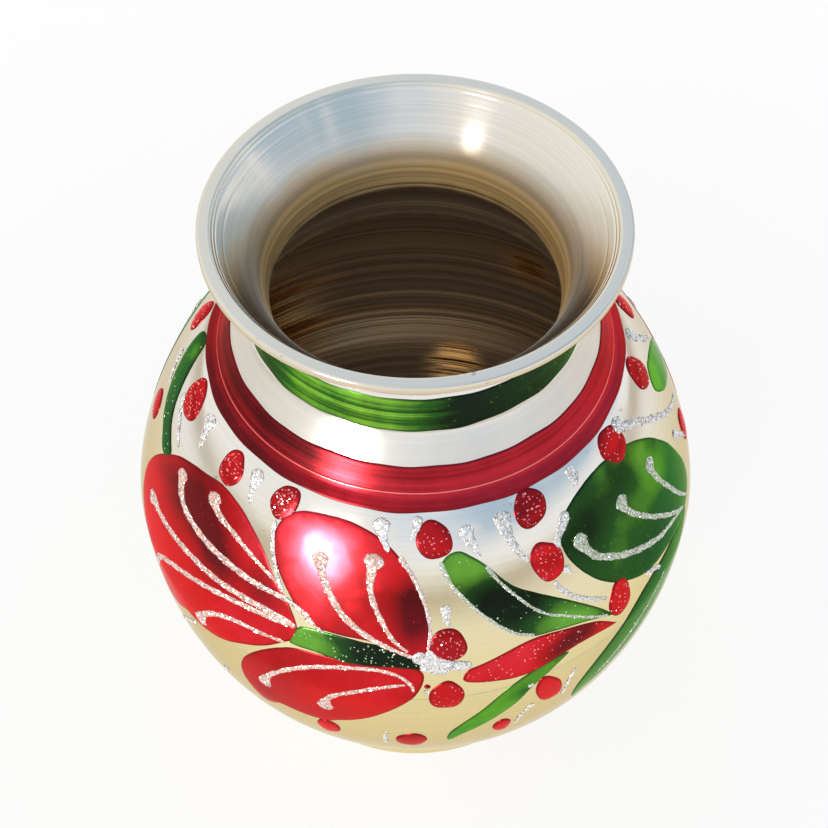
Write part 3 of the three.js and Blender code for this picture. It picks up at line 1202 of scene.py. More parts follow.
class BellySurface:
    """The outside of the body, laid out flat: azimuth across, and the way down from the collar."""

    scale = 44.0

    def __init__(self, form: PotForm) -> None:
        """Measures the outline of the shoulder and the bowl.

        Args:
            form: the pot's sizes.
        """
        upper = even(form.shoulder().run(0, UPRIGHT), 0.1)
        bowl = form.bowl()
        lower = even(bowl.run(UPRIGHT, bowl.angle_at_radius(form.foot_seat)), 0.1)
        self.line = np.concatenate([upper, lower[1:]])
        self.way = walked(self.line)
        self.normal = leftward(self.line, self.way)

    def flat(self, spots: Sequence[Spot], turn: float = 0.0) -> np.ndarray:
        """Lays spots out flat.

        Args:
            spots: azimuths and heights.
            turn: how far they are turned round the pot first, in degrees.

        Returns:
            The flat points, one in each row.
        """
        azimuth, height = np.array(spots, float).T
        way = np.interp(-height, -self.line[:, 1], self.way)
        return np.stack([np.radians(azimuth + turn) * self.scale, way], 1)

    def narrow(self, way: np.ndarray) -> np.ndarray:
        """Says how many real millimetres one flat millimetre across stands for."""
        return np.interp(way, self.way, self.line[:, 0]) / self.scale

    def raised(self, flat: np.ndarray, lift: np.ndarray | float) -> np.ndarray:
        """Gives the points in space that stand off the metal by a lift over flat points."""
        points = along(flat[:, 1], self.way, self.line) + self.facing(flat) * np.reshape(lift, (-1, 1))
        return around(points, flat[:, 0] / self.scale)

    def facing(self, flat: np.ndarray) -> np.ndarray:
        """Gives the outward direction, as radius and height, at flat points."""
        return along(flat[:, 1], self.way, self.normal)

    def outward(self, flat: np.ndarray) -> np.ndarray:
        """Gives the outward direction in space at flat points."""
        return around(self.facing(flat), flat[:, 0] / self.scale)


def gap_to(points: np.ndarray, outline: np.ndarray) -> np.ndarray:
    """Measures how far each point is from a closed outline.

    Args:
        points: points of the flat layout.
        outline: the outline's points, in order.

    Returns:
        The distances.
    """
    ahead = np.roll(outline, -1, 0) - outline
    length = np.maximum((ahead**2).sum(1), 1e-12)
    nearest = np.full(len(points), np.inf)
    for start, step, size in zip(outline, ahead, length):
        share = np.clip(((points - start) @ step) / size, 0, 1)
        nearest = np.minimum(nearest, np.hypot(*(points - start - share[:, None] * step).T))
    return nearest


def within(points: np.ndarray, outline: np.ndarray) -> np.ndarray:
    """Says which points lie inside a closed outline.

    Args:
        points: points of the flat layout.
        outline: the outline's points, in order.

    Returns:
        True for each point inside.
    """
    across, down = points.T
    inside = np.zeros(len(points), bool)
    for (across_0, down_0), (across_1, down_1) in zip(outline, np.roll(outline, -1, 0)):
        if down_0 == down_1:
            continue
        level = across < (across_1 - across_0) * (down - down_0) / (down_1 - down_0) + across_0
        inside ^= ((down_0 > down) != (down_1 > down)) & level
    return inside


@dataclass(frozen=True)
class PaintedShading:
    """A place of painted shade on the lacquer, or of painted light where the amount is negative."""

    azimuth: float
    height: float
    reach: float
    amount: float


@dataclass(frozen=True)
class Brushed:
    """A petal or leaf: its outline in azimuth and height, and its painted light and shade."""

    outline: tuple[Spot, ...]
    pools: tuple[PaintedShading, ...] = ()
    tone: float = 0.4
    fleck: float = 0.0
    thickness: float = 0.1

    def rise(self, gap: np.ndarray) -> np.ndarray:
        """Gives the thickness at some distances from the edge."""
        return coat_rise(gap, self.thickness)


@dataclass(frozen=True)
class Dot:
    """A dot of lacquer, set down with a full brush."""

    azimuth: float
    height: float
    wide: float
    tall: float
    lean: float = 0.0
    fleck: float = 0.15
    thickness: float = 0.34

    def rise(self, gap: np.ndarray) -> np.ndarray:
        """Gives the thickness at some distances from the edge, in a dome."""
        share = np.clip(gap / max(gap.max(), 1e-6), 0, 1)
        return THINNEST + (self.thickness - THINNEST) * np.sqrt(np.maximum(1 - (1 - share) ** 2, 0))


@dataclass(frozen=True)
class Stroke:
    """A line of glitter gel that starts in a drop and thins out."""

    path: tuple[Spot, ...]
    head: float = 1.2
    line: float = 0.62
    tint: float = 0.0
    tail: float = 0.3


class Brush:
    """Lays painted shapes on the belly as thin closed skins of lacquer."""

    spacing = 0.75
    row_share = 0.87
    grid_gap = 0.62
    ring_steps = (0.13, 0.36)
    ring_gaps = (0.125, 0.35)
    shake = 0.12
    outline_spacing = 0.4
    fleck_gap = 0.3
    dot_tones = (0.3, 0.75)
    dot_steps = 64
    dot_halves = (0.53, 0.545)
    dot_waves = ((0.05, 2), (0.035, 3), (0.02, 5))

    def __init__(self, belly: BellySurface, seed: int) -> None:
        """Takes the surface to paint on and the seed for the unevenness of hand work."""
        self.belly = belly
        self.chance = np.random.default_rng(seed)

    def field(self, outline: np.ndarray) -> np.ndarray:
        """Spreads points inside an outline: a grid, and rings close to the edge.

        Args:
            outline: flat points round the shape.

        Returns:
            The flat points inside.
        """
        low, high = outline.min(0), outline.max(0)
        grid = []
        for row, down in enumerate(np.arange(low[1], high[1], self.spacing * self.row_share)):
            shift = self.spacing / 2 * (row % 2)
            grid += [(across + shift, down) for across in np.arange(low[0], high[0], self.spacing)]
        ahead = np.roll(outline, -1, 0) - np.roll(outline, 1, 0)
        sideways = np.stack([-ahead[:, 1], ahead[:, 0]], 1) / np.maximum(np.hypot(*ahead.T), 1e-9)[:, None]
        rings = [outline + sideways * step * sign for step in self.ring_steps for sign in (-1, 1)]
        field = np.concatenate([np.array(grid), *rings])
        reach = np.r_[np.full(len(grid), self.grid_gap), np.repeat(self.ring_gaps, 2 * len(outline))]
        return field[within(field, outline) & (gap_to(field, outline) >= reach)]

    def skin(
        self, coat: Coat, shape: Brushed | Dot, outline: np.ndarray, tone: float, pools: Sequence[tuple] = ()
    ) -> None:
        """Fills an outline with a thin closed skin.

        Args:
            coat: the mesh that gathers the skin.
            shape: what is painted.
            outline: flat points round it.
            tone: its depth of colour.
            pools: flat centre, reach and amount of each place of painted light and shade.
        """
        cloud = [Vector(point) for point in np.concatenate([outline, self.field(outline)])]
        places, _, faces, *_ = delaunay_2d_cdt(cloud, [], [list(range(len(outline)))], 1, 1e-4)
        flat = np.array([tuple(place) for place in places])
        gaps = gap_to(flat, outline)
        gaps[gaps < 1e-3] = 0.0
        depth = np.full(len(flat), tone)
        # Painted light and shade: the colour is deeper where the amount is positive and paler where it is
        # negative.
        for centre, reach, amount in pools:
            depth += amount * np.exp(-(((flat - centre) ** 2).sum(1)) / reach**2)
        count = len(flat)
        edges = dict.fromkeys(edge for face in faces for edge in zip(face, (*face[1:], face[0])))
        walls = [(b, a, a + count, b + count) for a, b in edges if (b, a) not in edges]
        under = [tuple(i + count for i in reversed(face)) for face in faces]
        points = np.concatenate([self.belly.raised(flat, shape.rise(gaps)), self.belly.raised(flat, -SUNK)])
        flecks = np.r_[np.where(gaps > self.fleck_gap, shape.fleck, 0.0), gaps * 0]
        rim, pool = np.r_[gaps, gaps * 0], np.r_[depth, depth]
        coat.gather(points, [*faces, *under, *walls], rim=rim, pool=pool, fleck=flecks)

    def fill(self, coat: Coat, shape: Brushed, turn: float) -> None:
        """Paints a petal or leaf.

        Args:
            coat: the mesh that gathers it.
            shape: the petal or leaf.
            turn: how far it is turned round the pot, in degrees.
        """
        outline = smooth_line(self.belly.flat(shape.outline, turn), self.outline_spacing, True)
        wave = np.cumsum(self.chance.normal(0, 1, (len(outline), 2)), 0)
        wave -= np.linspace(0, 1, len(outline))[:, None] * wave[-1]
        outline = outline + wave / max(float(np.abs(wave).max()), 1.0) * self.shake
        pools = [(self.belly.flat([(p.azimuth, p.height)], turn)[0], p.reach, p.amount) for p in shape.pools]
        self.skin(coat, shape, outline, shape.tone, pools)

    def dab(self, coat: Coat, dot: Dot, turn: float) -> None:
        """Paints a dot.

        Args:
            coat: the mesh that gathers it.
            dot: the dot.
            turn: how far it is turned round the pot, in degrees.
        """
        centre = self.belly.flat([(dot.azimuth, dot.height)], turn)[0]
        angle = np.linspace(0, FULL_TURN, self.dot_steps, endpoint=False)
        phase = self.chance.uniform(0, FULL_TURN, len(self.dot_waves))
        uneven = 1 + sum(a * np.sin(n * angle + p) for (a, n), p in zip(self.dot_waves, phase))
        wide = dot.wide * self.dot_halves[0] * np.cos(angle) * uneven
        tall = dot.tall * self.dot_halves[1] * np.sin(angle) * uneven
        along_lean, across_lean = math.cos(math.radians(dot.lean)), math.sin(math.radians(dot.lean))
        across = wide * along_lean - tall * across_lean
        down = wide * across_lean + tall * along_lean
        outline = np.stack([across / self.belly.narrow(centre[1]), down], 1) + centre
        self.skin(coat, dot, outline, self.chance.uniform(*self.dot_tones))


# Bands of lacquer


@dataclass(frozen=True)
class BandPlan:
    """Where a band starts and stops on its path, its painted light and shade round the pot, and the step that
    shows through.
    """

    start: float
    stop: float
    shaded_azimuth: float
    shading_sway: float
    lobes: int = 1
    depth: float = 0.42
    step: float = -9.0


@dataclass
class Bands:
    """The coats of lacquer round the neck and over the step between collar and shoulder."""

    form: PotForm
    thickness: float = 0.14
    wander: float = 0.12
    steps: int = 360
    rows: int = 64
    ridge_width: float = 0.14
    ridge_rise: float = 0.08
    sunk: float = 0.04
    edge_waves: tuple[int, ...] = (3, 7, 12, 23)
    depth_waves: tuple[int, ...] = (3, 5, 9)
    unevenness: float = 0.07
    swell: float = 1.6
    # How pale the coat is painted on the step's ridge: thin lacquer and a painted highlight.
    thinness_and_highlight: float = 1.1

    def depth(self, plan: BandPlan, azimuth: np.ndarray, phase: np.ndarray) -> np.ndarray:
        """Gives the depth of colour round the pot: random unevenness of the brushwork, and painted light and
        shade.

        Args:
            plan: how the coat lies.
            azimuth: where to give it, in radians.
            phase: where each of the three unevennesses starts.

        Returns:
            The depth at each azimuth.
        """
        uneven = sum(self.unevenness * np.sin(n * azimuth + p) for n, p in zip(self.depth_waves, phase))
        # Painted light and shade round the pot, deepest at one azimuth and palest away from it.
        swell = self.swell * np.cos(plan.lobes * (azimuth - math.radians(plan.shaded_azimuth)))
        return plan.depth + uneven + plan.shading_sway * np.clip(swell, -1, 1)

    def band(self, name: str, path: np.ndarray, plan: BandPlan, finish: Material) -> Piece:
        """Brushes one band all round the pot.

        Args:
            name: the piece's name.
            path: the outline under the coat, from top to bottom.
            plan: how the coat lies on the path.
            finish: its lacquer.

        Returns:
            The band.
        """
        way = walked(path)
        normal = leftward(path, way)
        normal /= np.hypot(*normal.T)[:, None]
        azimuth = np.linspace(0, FULL_TURN, self.steps, endpoint=False)
        chance = np.random.default_rng(len(name))
        edges = []
        for end in (plan.start, plan.stop):
            phase = chance.uniform(0, FULL_TURN, len(self.edge_waves))
            waves = sum(np.sin(n * azimuth + p) / 2 for n, p in zip(self.edge_waves, phase))
            edges.append(end + self.wander * waves)
        at = edges[0] + (edges[1] - edges[0]) * np.linspace(0, 1, self.rows)[:, None]
        gap = np.minimum(at - edges[0], edges[1] - at)
        ridge = np.exp(-(((at - plan.step) / self.ridge_width) ** 2))
        lift = coat_rise(gap, self.thickness) + self.ridge_rise * ridge
        place, facing = along(at, way, path), along(at, way, normal)
        over = around(place + facing * lift[..., None], azimuth)
        under = around(place - facing * self.sunk, azimuth)[::-1]
        loops = np.concatenate([over, under])
        index = np.arange(len(loops) * self.steps).reshape(len(loops), self.steps)
        ahead, beside = np.roll(index, -1, 0), np.roll(index, -1, 1)
        faces = np.stack([index, beside, np.roll(ahead, -1, 1), ahead], -1).reshape(-1, 4)
        bare = np.concatenate([ridge, ridge[::-1] * 0])
        phase = chance.uniform(0, FULL_TURN, len(self.depth_waves))
        # On the step's ridge the coat is painted thin and pale, partly thin lacquer over the edge and partly
        # a painted highlight.
        depth = self.depth(plan, azimuth, phase) * (1 - bare) - self.thinness_and_highlight * bare
        rim = np.concatenate([gap, gap[::-1] * 0]).ravel()
        coat = Coat()
        coat.gather(loops.reshape(-1, 3), faces, rim=rim, pool=depth.ravel(), fleck=rim * 0)
        return coat.made(name, finish)

    def green(self, finish: Material) -> None:
        """Brushes the green band round the neck.

        Args:
            finish: its lacquer.
        """
        form = self.form
        top, bottom = (form.neck_radius, form.neck_top, 0), (form.neck_radius, form.neck_bottom, 0.5)
        path = even(rounded([top, bottom, (*form.collar(form.seat_height + 5), 0)]), 0.08)
        stop = form.neck_top - form.neck_bottom + 0.2
        # Painted light and shade: the green is deepest round 35 degrees and twice more round the neck, palest
        # between, as on the left of the front.
        plan = BandPlan(1.2, stop, shaded_azimuth=35.0, shading_sway=0.5, lobes=3, depth=0.74)
        finished(self.band("green_neck_coat", path, plan, finish), "green_lacquer", "green_neck_band")

    def red(self, finish: Material) -> None:
        """Brushes the red band over the foot of the collar and the edge of the shoulder.

        Args:
            finish: its lacquer.
        """
        form = self.form
        skin = form.shoulder()
        top, corner = form.collar(form.seat_height + 5.2), form.collar(form.seat_height + form.collar_edge)
        fillet = skin.at_radius(form.collar_radius + form.collar_edge)
        start, stop = (skin.angle_at_radius(form.collar_radius + wide) for wide in (1.2, 4))
        crease = rounded([(*top, 0), (*corner, 0.22), (*fillet, 0.25), (*skin.point(start), 0)])
        path = even(crease[:-1] + skin.run(start, stop), 0.06)
        way = walked(path)
        bottom = float(np.interp(form.collar_radius + 2.2, path[:, 0], way))
        heights = (form.seat_height + 4.2, form.seat_height + form.collar_edge)
        upper, step = (float(np.interp(-height, -path[:, 1], way)) for height in heights)
        # Painted shade: the red is deepest round -100 degrees, on the left, and palest on the right.
        plan = BandPlan(upper, bottom, shaded_azimuth=-100.0, shading_sway=0.36, step=step)
        finished(self.band("red_shoulder_coat", path, plan, finish), "red_lacquer", "red_shoulder_band")


# Glitter


class GelLines(Tool):
    """Squeezes lines of glitter gel along paths."""

    slim = 0.8
    lift = 0.06
    drop_fade = 1.5
    thinning_share = 0.45
    end_length = 0.5
    finest = 0.03
    spacing = 0.3
    # How far the hand's two shakes go, how fast, and how much later for each stroke.
    shakes = ((0.1, 1.7, 1), (0.06, 4.3, 2))
    settings = {"Rise": 0.22, "Steps across": 14}

    def __init__(self, belly: BellySurface) -> None:
        """Builds the tree: a low half-round swept along each path, as wide as the path says.

        Args:
            belly: the surface that the lines lie on.
        """
        super().__init__("squeezed_lines", {"Rise": "Float", "Steps across": "Int", "Finish": "Material"})
        self.belly = belly
        path = self.out("GeometryNodeMeshToCurve", {0: self.source["Base"]})
        values = {"Curve": path, "Normal": self.carried("outward", "FLOAT_VECTOR")}
        path = self.out("GeometryNodeSetCurveNormal", values, mode="FREE")
        values = {"Resolution": self.source["Steps across"], "Radius": 1.0}
        ring = self.out("GeometryNodeCurvePrimitiveCircle", values)
        split = self.add("ShaderNodeSeparateXYZ", {0: self.out("GeometryNodeInputPosition")}).outputs
        values = {"X": self.times(split["X"], self.source["Rise"]), "Y": split["Y"]}
        low = self.out("ShaderNodeCombineXYZ", values)
        ring = self.out("GeometryNodeSetPosition", {"Geometry": ring, "Position": low})
        wide = self.carried("half_width")
        values = {"Curve": path, "Profile Curve": ring, "Scale": wide, "Fill Caps": True}
        swept = self.out("GeometryNodeCurveToMesh", values)
        smooth = self.out("GeometryNodeSetShadeSmooth", {"Geometry": swept})
        self.add("NodeGroupOutput", {0: self.dressed(smooth, "Finish")})

    def widths(self, stroke: Stroke, way: np.ndarray) -> np.ndarray:
        """Gives a stroke's half width along its length.

        Args:
            stroke: the stroke.
            way: the distance from its start at each point.

        Returns:
            The half widths.
        """
        length, line = way[-1], stroke.line * self.slim
        drop = stroke.head * np.sqrt(np.clip(1 - ((way - stroke.head) / stroke.head) ** 2, 0, 1))
        fade = line + (stroke.head - line) * np.exp(-np.clip(way - stroke.head, 0, None) / self.drop_fade)
        width = np.where(way < stroke.head, drop, fade)
        thin = np.clip((length - way) / max(length * self.thinning_share, 1e-6), 0, 1)
        width = np.minimum(width, stroke.tail + (width - stroke.tail) * thin**0.8)
        end = np.sqrt(np.clip(1 - (1 - np.clip((length - way) / self.end_length, 0, 1)) ** 2, 0, 1))
        return np.maximum(width * np.maximum(end, 0.05), self.finest)

    def squeeze(self, name: str, strokes: Sequence[tuple[Stroke, float]], finish: Material) -> Piece:
        """Makes a set of gel lines.

        Args:
            name: the piece's name.
            strokes: each stroke and how far it is turned round the pot.
            finish: the gel.

        Returns:
            The lines, as one piece.
        """
        points, outward, half, tint, edges = [], [], [], [], []
        count = 0
        for number, (stroke, turn) in enumerate(strokes):
            flat = smooth_line(self.belly.flat(stroke.path, turn), self.spacing)
            place = self.belly.raised(flat, self.lift)
            way = walked(place)
            hand = sum((far * np.sin(way * fast + late * number) for far, fast, late in self.shakes), 1.0)
            points.append(place)
            outward.append(self.belly.outward(flat))
            half.append(self.widths(stroke, way) * hand)
            tint.append(np.full(len(flat), stroke.tint))
            edges += [(count + i, count + i + 1) for i in range(len(flat) - 1)]
            count += len(flat)
        mesh = bpy.data.meshes.new(name + "_paths")
        mesh.from_pydata((np.concatenate(points) * MM).tolist(), edges, [])
        facing = mesh.attributes.new("outward", "FLOAT_VECTOR", "POINT").data
        facing.foreach_set("vector", np.concatenate(outward).ravel())
        carry(mesh, "half_width", np.concatenate(half) * MM)
        carry(mesh, "tint", np.concatenate(tint))
        piece = self.made(name, mesh, {**self.settings, "Finish": finish})
        self.mark(piece.data)
        facing_out(piece.data)
        return piece

    def mark(self, mesh: bpy.types.Mesh) -> None:
        """Marks the upper side of the gel lines as the place for flakes.

        Args:
            mesh: the lines' mesh, which is changed.
        """
        count = len(mesh.vertices)
        place, normal = np.zeros(count * 3), np.zeros(count * 3)
        mesh.vertices.foreach_get("co", place)
        mesh.vertex_normals.foreach_get("vector", normal)
        place, normal = place.reshape(-1, 3) / MM, normal.reshape(-1, 3)
        way = np.interp(-place[:, 2], -self.belly.line[:, 1], self.belly.way)
        azimuth = np.arctan2(place[:, 0], -place[:, 1])
        away = around(self.belly.facing(np.stack([azimuth, way], 1)), azimuth)
        carry(mesh, "fleck", np.clip((away * normal).sum(1) * 2, 0, 1))


class LooseFlakes(Tool):
    """Scatters thin five-sided flakes where the base says that there is glitter."""

    size = 0.17
    sizes = (0.6, 1.25)
    corners = 5
    depth = 0.16
    tilt = 0.5

    def __init__(self) -> None:
        """Builds the tree."""
        inputs = {"Density": "Float", "Flake size": "Float", "Tilt": "Float", "Seed": "Int"}
        super().__init__("scattered_flakes", {**inputs, "Finish": "Material"})
        source = self.source
        density = self.times(self.carried("fleck"), source["Density"])
        values = {"Mesh": source["Base"], "Density": density, "Seed": source["Seed"]}
        spread = self.add("GeometryNodeDistributePointsOnFaces", values).outputs
        sizes = {"Vertices": self.corners, "Radius": 1.0, "Depth": self.depth}
        flake = self.out("GeometryNodeMeshCylinder", sizes)
        limits = [
            self.out("ShaderNodeCombineXYZ", {"X": side, "Y": side, "Z": turn})
            for side, turn in ((self.times(source["Tilt"], -1.0), -math.pi), (source["Tilt"], math.pi))
        ]
        swing = self.out("FunctionNodeEulerToRotation", {0: self.chance("FLOAT_VECTOR", *limits)})
        values = {0: spread["Rotation"], 1: swing}
        turned = self.out("FunctionNodeRotateRotation", values, rotation_space="LOCAL")
        size = self.times(self.chance("FLOAT", *self.sizes), source["Flake size"])
        values = {"Points": spread[0], "Instance": flake, "Rotation": turned, "Scale": size}
        flakes = self.out("GeometryNodeInstanceOnPoints", values)
        values = {"Geometry": flakes, "Name": "spark", "Value": self.chance("FLOAT", 0.0, 1.0)}
        flakes = self.out("GeometryNodeStoreNamedAttribute", values, data_type="FLOAT", domain="INSTANCE")
        self.add("NodeGroupOutput", {0: self.dressed(flakes, "Finish")})

    def chance(self, kind: str, low: Any, high: Any) -> Socket:
        """Draws a value between two limits for each flake.

        Args:
            kind: FLOAT or FLOAT_VECTOR.
            low: the lowest value or socket.
            high: the highest value or socket.

        Returns:
            The socket of the drawn value.
        """
        low_at, out_at = {"FLOAT_VECTOR": (0, 0), "FLOAT": (2, 1)}[kind]
        values = {low_at: low, low_at + 1: high, "Seed": self.source["Seed"]}
        return self.add("FunctionNodeRandomValue", values, data_type=kind).outputs[out_at]

    def scatter(self, name: str, base: Piece, finish: Material, density: float, seed: int) -> Piece:
        """Scatters flakes over a piece; the density is how many lie in a square millimetre of glitter."""
        values = {"Density": density / MM**2, "Flake size": self.size * MM, "Tilt": self.tilt, "Seed": seed}
        return self.made(name, base.data.copy(), {**values, "Finish": finish})


# The painting


# Each shape's second table lists its painted light and shade, dark and bright reflections painted on the
# lacquer.
RED_FAN = Brushed(
    (
        (-24.2, 65.0), (-26.8, 68.6), (-30.4, 71.3), (-34, 74.4), (-38.5, 76.8), (-44, 78.6), (-51, 79.2),
        (-57, 78.2), (-62, 77.1), (-67, 75.4), (-71.2, 73), (-75, 70), (-78, 66.5), (-79.6, 62.5),
        (-78.6, 58.6), (-75, 55.6), (-69.5, 53.4), (-65, 50.6), (-60.5, 47.4), (-56.5, 47.8),
        (-52.4, 50.2), (-47.2, 50.7), (-42, 52.3), (-36.5, 55.2), (-31.2, 57.8), (-27, 60.6),
        (-24.6, 62.4),
    ),
    (
        PaintedShading(-58, 73, 7, 0.6), PaintedShading(-48, 72.2, 5, 0.5), PaintedShading(-45, 67.6, 5, 0.5), PaintedShading(-33, 68, 4, 0.4),
        PaintedShading(-68, 71, 5, 0.35), PaintedShading(-40, 76, 5, -0.35), PaintedShading(-66, 58, 9, -0.2), PaintedShading(-42, 60, 8, -0.15),
    ),
)
RED_PETAL = Brushed(
    (
        (1.6, 62.9), (2.9, 66), (3, 69), (2.3, 72), (1, 74.6), (-1, 77.3), (-3.6, 79.7), (-7.2, 81.6),
        (-11.5, 82.8), (-17, 83.5), (-23, 83.4), (-28.3, 82.8), (-31.8, 81.4), (-33.5, 79), (-32.8, 76.4),
        (-31, 73.8), (-28.2, 71.2), (-24.9, 68.5), (-21.6, 66.2), (-16, 65.8), (-10, 65.7), (-5.2, 64.9),
        (-1.5, 63.4),
    ),
    (
        PaintedShading(-0.6, 74.6, 3, 0.42), PaintedShading(0.6, 71.6, 4, 0.48), PaintedShading(-0.4, 68, 4.6, 0.42),
        PaintedShading(-24, 80, 8, -0.4), PaintedShading(-14, 66.4, 3, 0.25),
    ),
    tone=0.35,
)
RED_UNDER_PETAL = Brushed(
    (
        (1.6, 58.8), (0.9, 56.4), (-0.4, 54.2), (-2.8, 51.6), (-5.6, 49), (-8.6, 46.5), (-12, 44.2),
        (-15.6, 42.3), (-18.4, 40.6), (-23.5, 40), (-28.6, 40), (-30.4, 38.6), (-32.4, 37.2),
        (-34.4, 37.6), (-35.8, 40), (-37, 43.4), (-37.1, 47), (-36.2, 50.6), (-34, 54.2), (-31, 57),
        (-27.6, 59.2), (-24, 60.6), (-18.4, 61), (-12, 61), (-5.6, 61.3), (-1.2, 61.2), (1, 60.4),
    ),
    (PaintedShading(-33, 42, 5, 0.3), PaintedShading(-28, 57, 4, 0.15), PaintedShading(-12, 52, 7, -0.12)),
    tone=0.5,
)
RED_BUD = Brushed(
    (
        (9.1, 58.2), (10.2, 59.8), (13.5, 60.7), (18, 61.8), (22.6, 62.6), (27, 62.4), (31, 61.6),
        (35, 60.6), (38.5, 59.2), (41.2, 57.4), (43.3, 55.6), (43.3, 55.6), (40.6, 56), (37, 56.6),
        (33, 56.8), (28.5, 56.4), (23.6, 55.6), (19.6, 55.5), (15.6, 56), (11.8, 56.6), (9.5, 57.3),
    ),
    (PaintedShading(31, 59, 3, 0.6), PaintedShading(36, 59.6, 3, 0.5), PaintedShading(27, 57.4, 2.5, 0.4), PaintedShading(18, 59, 4, -0.15)),
    tone=0.36,
    fleck=0.12,
)
GREEN_SEPAL = Brushed(
    (
        (-25.4, 61.5), (-24.9, 63.6), (-23.2, 65.3), (-19, 65.7), (-13, 65.6), (-7.5, 65.2), (-3, 64.2),
        (0.2, 62.8), (1.9, 61.4), (0.4, 60.7), (-4, 60.9), (-10, 60.7), (-16, 60.9), (-20.5, 61.3),
        (-23.5, 61.2),
    ),
    (PaintedShading(-24, 62.4, 3.5, -0.7), PaintedShading(-17, 62.6, 3, -0.3), PaintedShading(-8, 64.4, 5, 0.7), PaintedShading(-2, 62, 5, 0.7)),
    tone=0.45,
    fleck=0.18,
)
WAVY_LEAF = Brushed(
    (
        (5.6, 78.6), (7.4, 79.9), (10.2, 80.2), (13, 79.1), (16.2, 77.2), (19, 74.8), (21.8, 72.8),
        (25, 71.2), (29.2, 68.8), (33.4, 66.2), (37.4, 63.2), (40.8, 60.1), (42.4, 58.1), (42.4, 58.1),
        (38.6, 59.7), (33.6, 61.4), (28.6, 62.4), (23.9, 63.2), (20.3, 64.8), (16.8, 67.3), (13.4, 70),
        (10.6, 72.8), (7.7, 75.6), (6, 77.2),
    ),
    (
        PaintedShading(10, 78, 4.5, -0.55), PaintedShading(15.5, 76.4, 3, -0.3), PaintedShading(15, 72, 4, 0.55),
        PaintedShading(21, 68.5, 5, 0.55), PaintedShading(26, 65, 3, -0.35), PaintedShading(31.5, 63.4, 3.5, -0.4),
        PaintedShading(36, 61.4, 3, -0.3), PaintedShading(24, 70, 2, 0.3),
    ),
    tone=0.45,
    fleck=0.05,
)
NARROW_LEAF = Brushed(
    (
        (31, 56.4), (27.4, 56.5), (22.8, 55.6), (19, 53.8), (16, 51), (12.8, 47.5), (9.4, 43.6),
        (7.2, 40.2), (6.6, 36.8), (7.4, 35.4), (9.8, 38), (13.2, 40.8), (16.8, 44), (20.3, 47.2),
        (22.6, 50.4), (25, 52.6), (28, 54.7),
    ),
    (PaintedShading(14, 47, 9, -0.2), PaintedShading(21, 50, 2.5, 0.3), PaintedShading(8, 38.4, 4, 0.1)),
    tone=0.2,
)
ROUND_LEAF = Brushed(
    (
        (33.9, 77.2), (35.8, 79.6), (40, 81.2), (45.5, 82.1), (51, 82.3), (56.4, 81.8), (61.6, 80.9),
        (66, 79.4), (69.8, 77.4), (73, 74.8), (75.6, 72), (77.4, 69), (79, 66), (80, 63), (79.4, 60),
        (76.6, 58.2), (72.4, 57.5), (67.6, 57.9), (62, 58.7), (56.8, 59.2), (52.4, 60.2), (48.1, 62),
        (44, 64.2), (40.6, 66.7), (37.8, 69.4), (35.6, 72), (34.1, 74.7),
    ),
    (
        PaintedShading(41, 78, 5, 0.1), PaintedShading(50, 79, 5, -0.15), PaintedShading(63, 78.4, 4, -0.4), PaintedShading(58, 72.8, 4.5, -0.3),
        PaintedShading(67, 72, 4, -0.3), PaintedShading(41, 75.4, 4, 0.4), PaintedShading(57, 76.4, 3.4, 0.35), PaintedShading(45, 70.4, 4, -0.1),
        PaintedShading(58, 62, 6, 0.35), PaintedShading(76, 61, 5, 0.6), PaintedShading(66, 64, 6, 0.25),
    ),
    tone=0.45,
)
LONG_LEAF = Brushed(
    (
        (57, 58), (52, 57), (47.8, 55.2), (44.2, 52.8), (40.8, 50), (38, 47.2), (36, 44.2), (34.8, 41.4),
        (34.6, 38.4), (35.6, 35.8), (39, 38), (44, 39.8), (50, 42.4), (56.2, 45.8), (62, 49.2),
        (68.6, 53.4), (74, 57.6), (66, 58.4),
    ),
    (PaintedShading(46, 50, 6, 0.15), PaintedShading(40, 44, 5, 0.2), PaintedShading(60, 52, 7, 0.5), PaintedShading(50, 44, 6, 0.5)),
    tone=0.45,
)
HANGING_LEAF = Brushed(
    (
        (-95.2, 84), (-93, 85.2), (-89, 85.3), (-86.6, 84), (-84.2, 82), (-82.2, 80), (-80, 77.8),
        (-77.2, 75.9), (-73.6, 74.5), (-71, 73.3), (-72, 71.6), (-75.4, 71), (-79, 72.2), (-83, 73.4),
        (-86.6, 75.1), (-89.4, 77), (-91.6, 79), (-93.8, 81.2),
    ),
    (PaintedShading(-89, 83, 2.4, -0.5), PaintedShading(-80, 75, 6, 0.5), PaintedShading(-88, 79, 4, 0.3), PaintedShading(-83, 79, 2, -0.2)),
    tone=0.6,
    fleck=0.08,
)
SIDE_LEAF = Brushed(
    (
        (83.6, 77.9), (84.8, 79.6), (88.2, 80.4), (92.4, 79.7), (96.6, 78.4), (101, 76.4), (104.6, 74),
        (107, 71.4), (107.6, 69.6), (104, 69.2), (99.6, 70), (95, 71.6), (90.8, 73.2), (86.8, 75.2),
    ),
    (PaintedShading(87, 78.4, 4, -0.45), PaintedShading(96, 76, 4, -0.1), PaintedShading(102, 71, 5, 0.55), PaintedShading(90, 75, 3, 0.2)),
    tone=0.3,
)

RED_SHAPES = (RED_FAN, RED_PETAL, RED_UNDER_PETAL, RED_BUD)
GREEN_SHAPES = (GREEN_SEPAL, WAVY_LEAF, NARROW_LEAF, ROUND_LEAF, LONG_LEAF)
SIDE_SHAPES = (HANGING_LEAF, SIDE_LEAF)

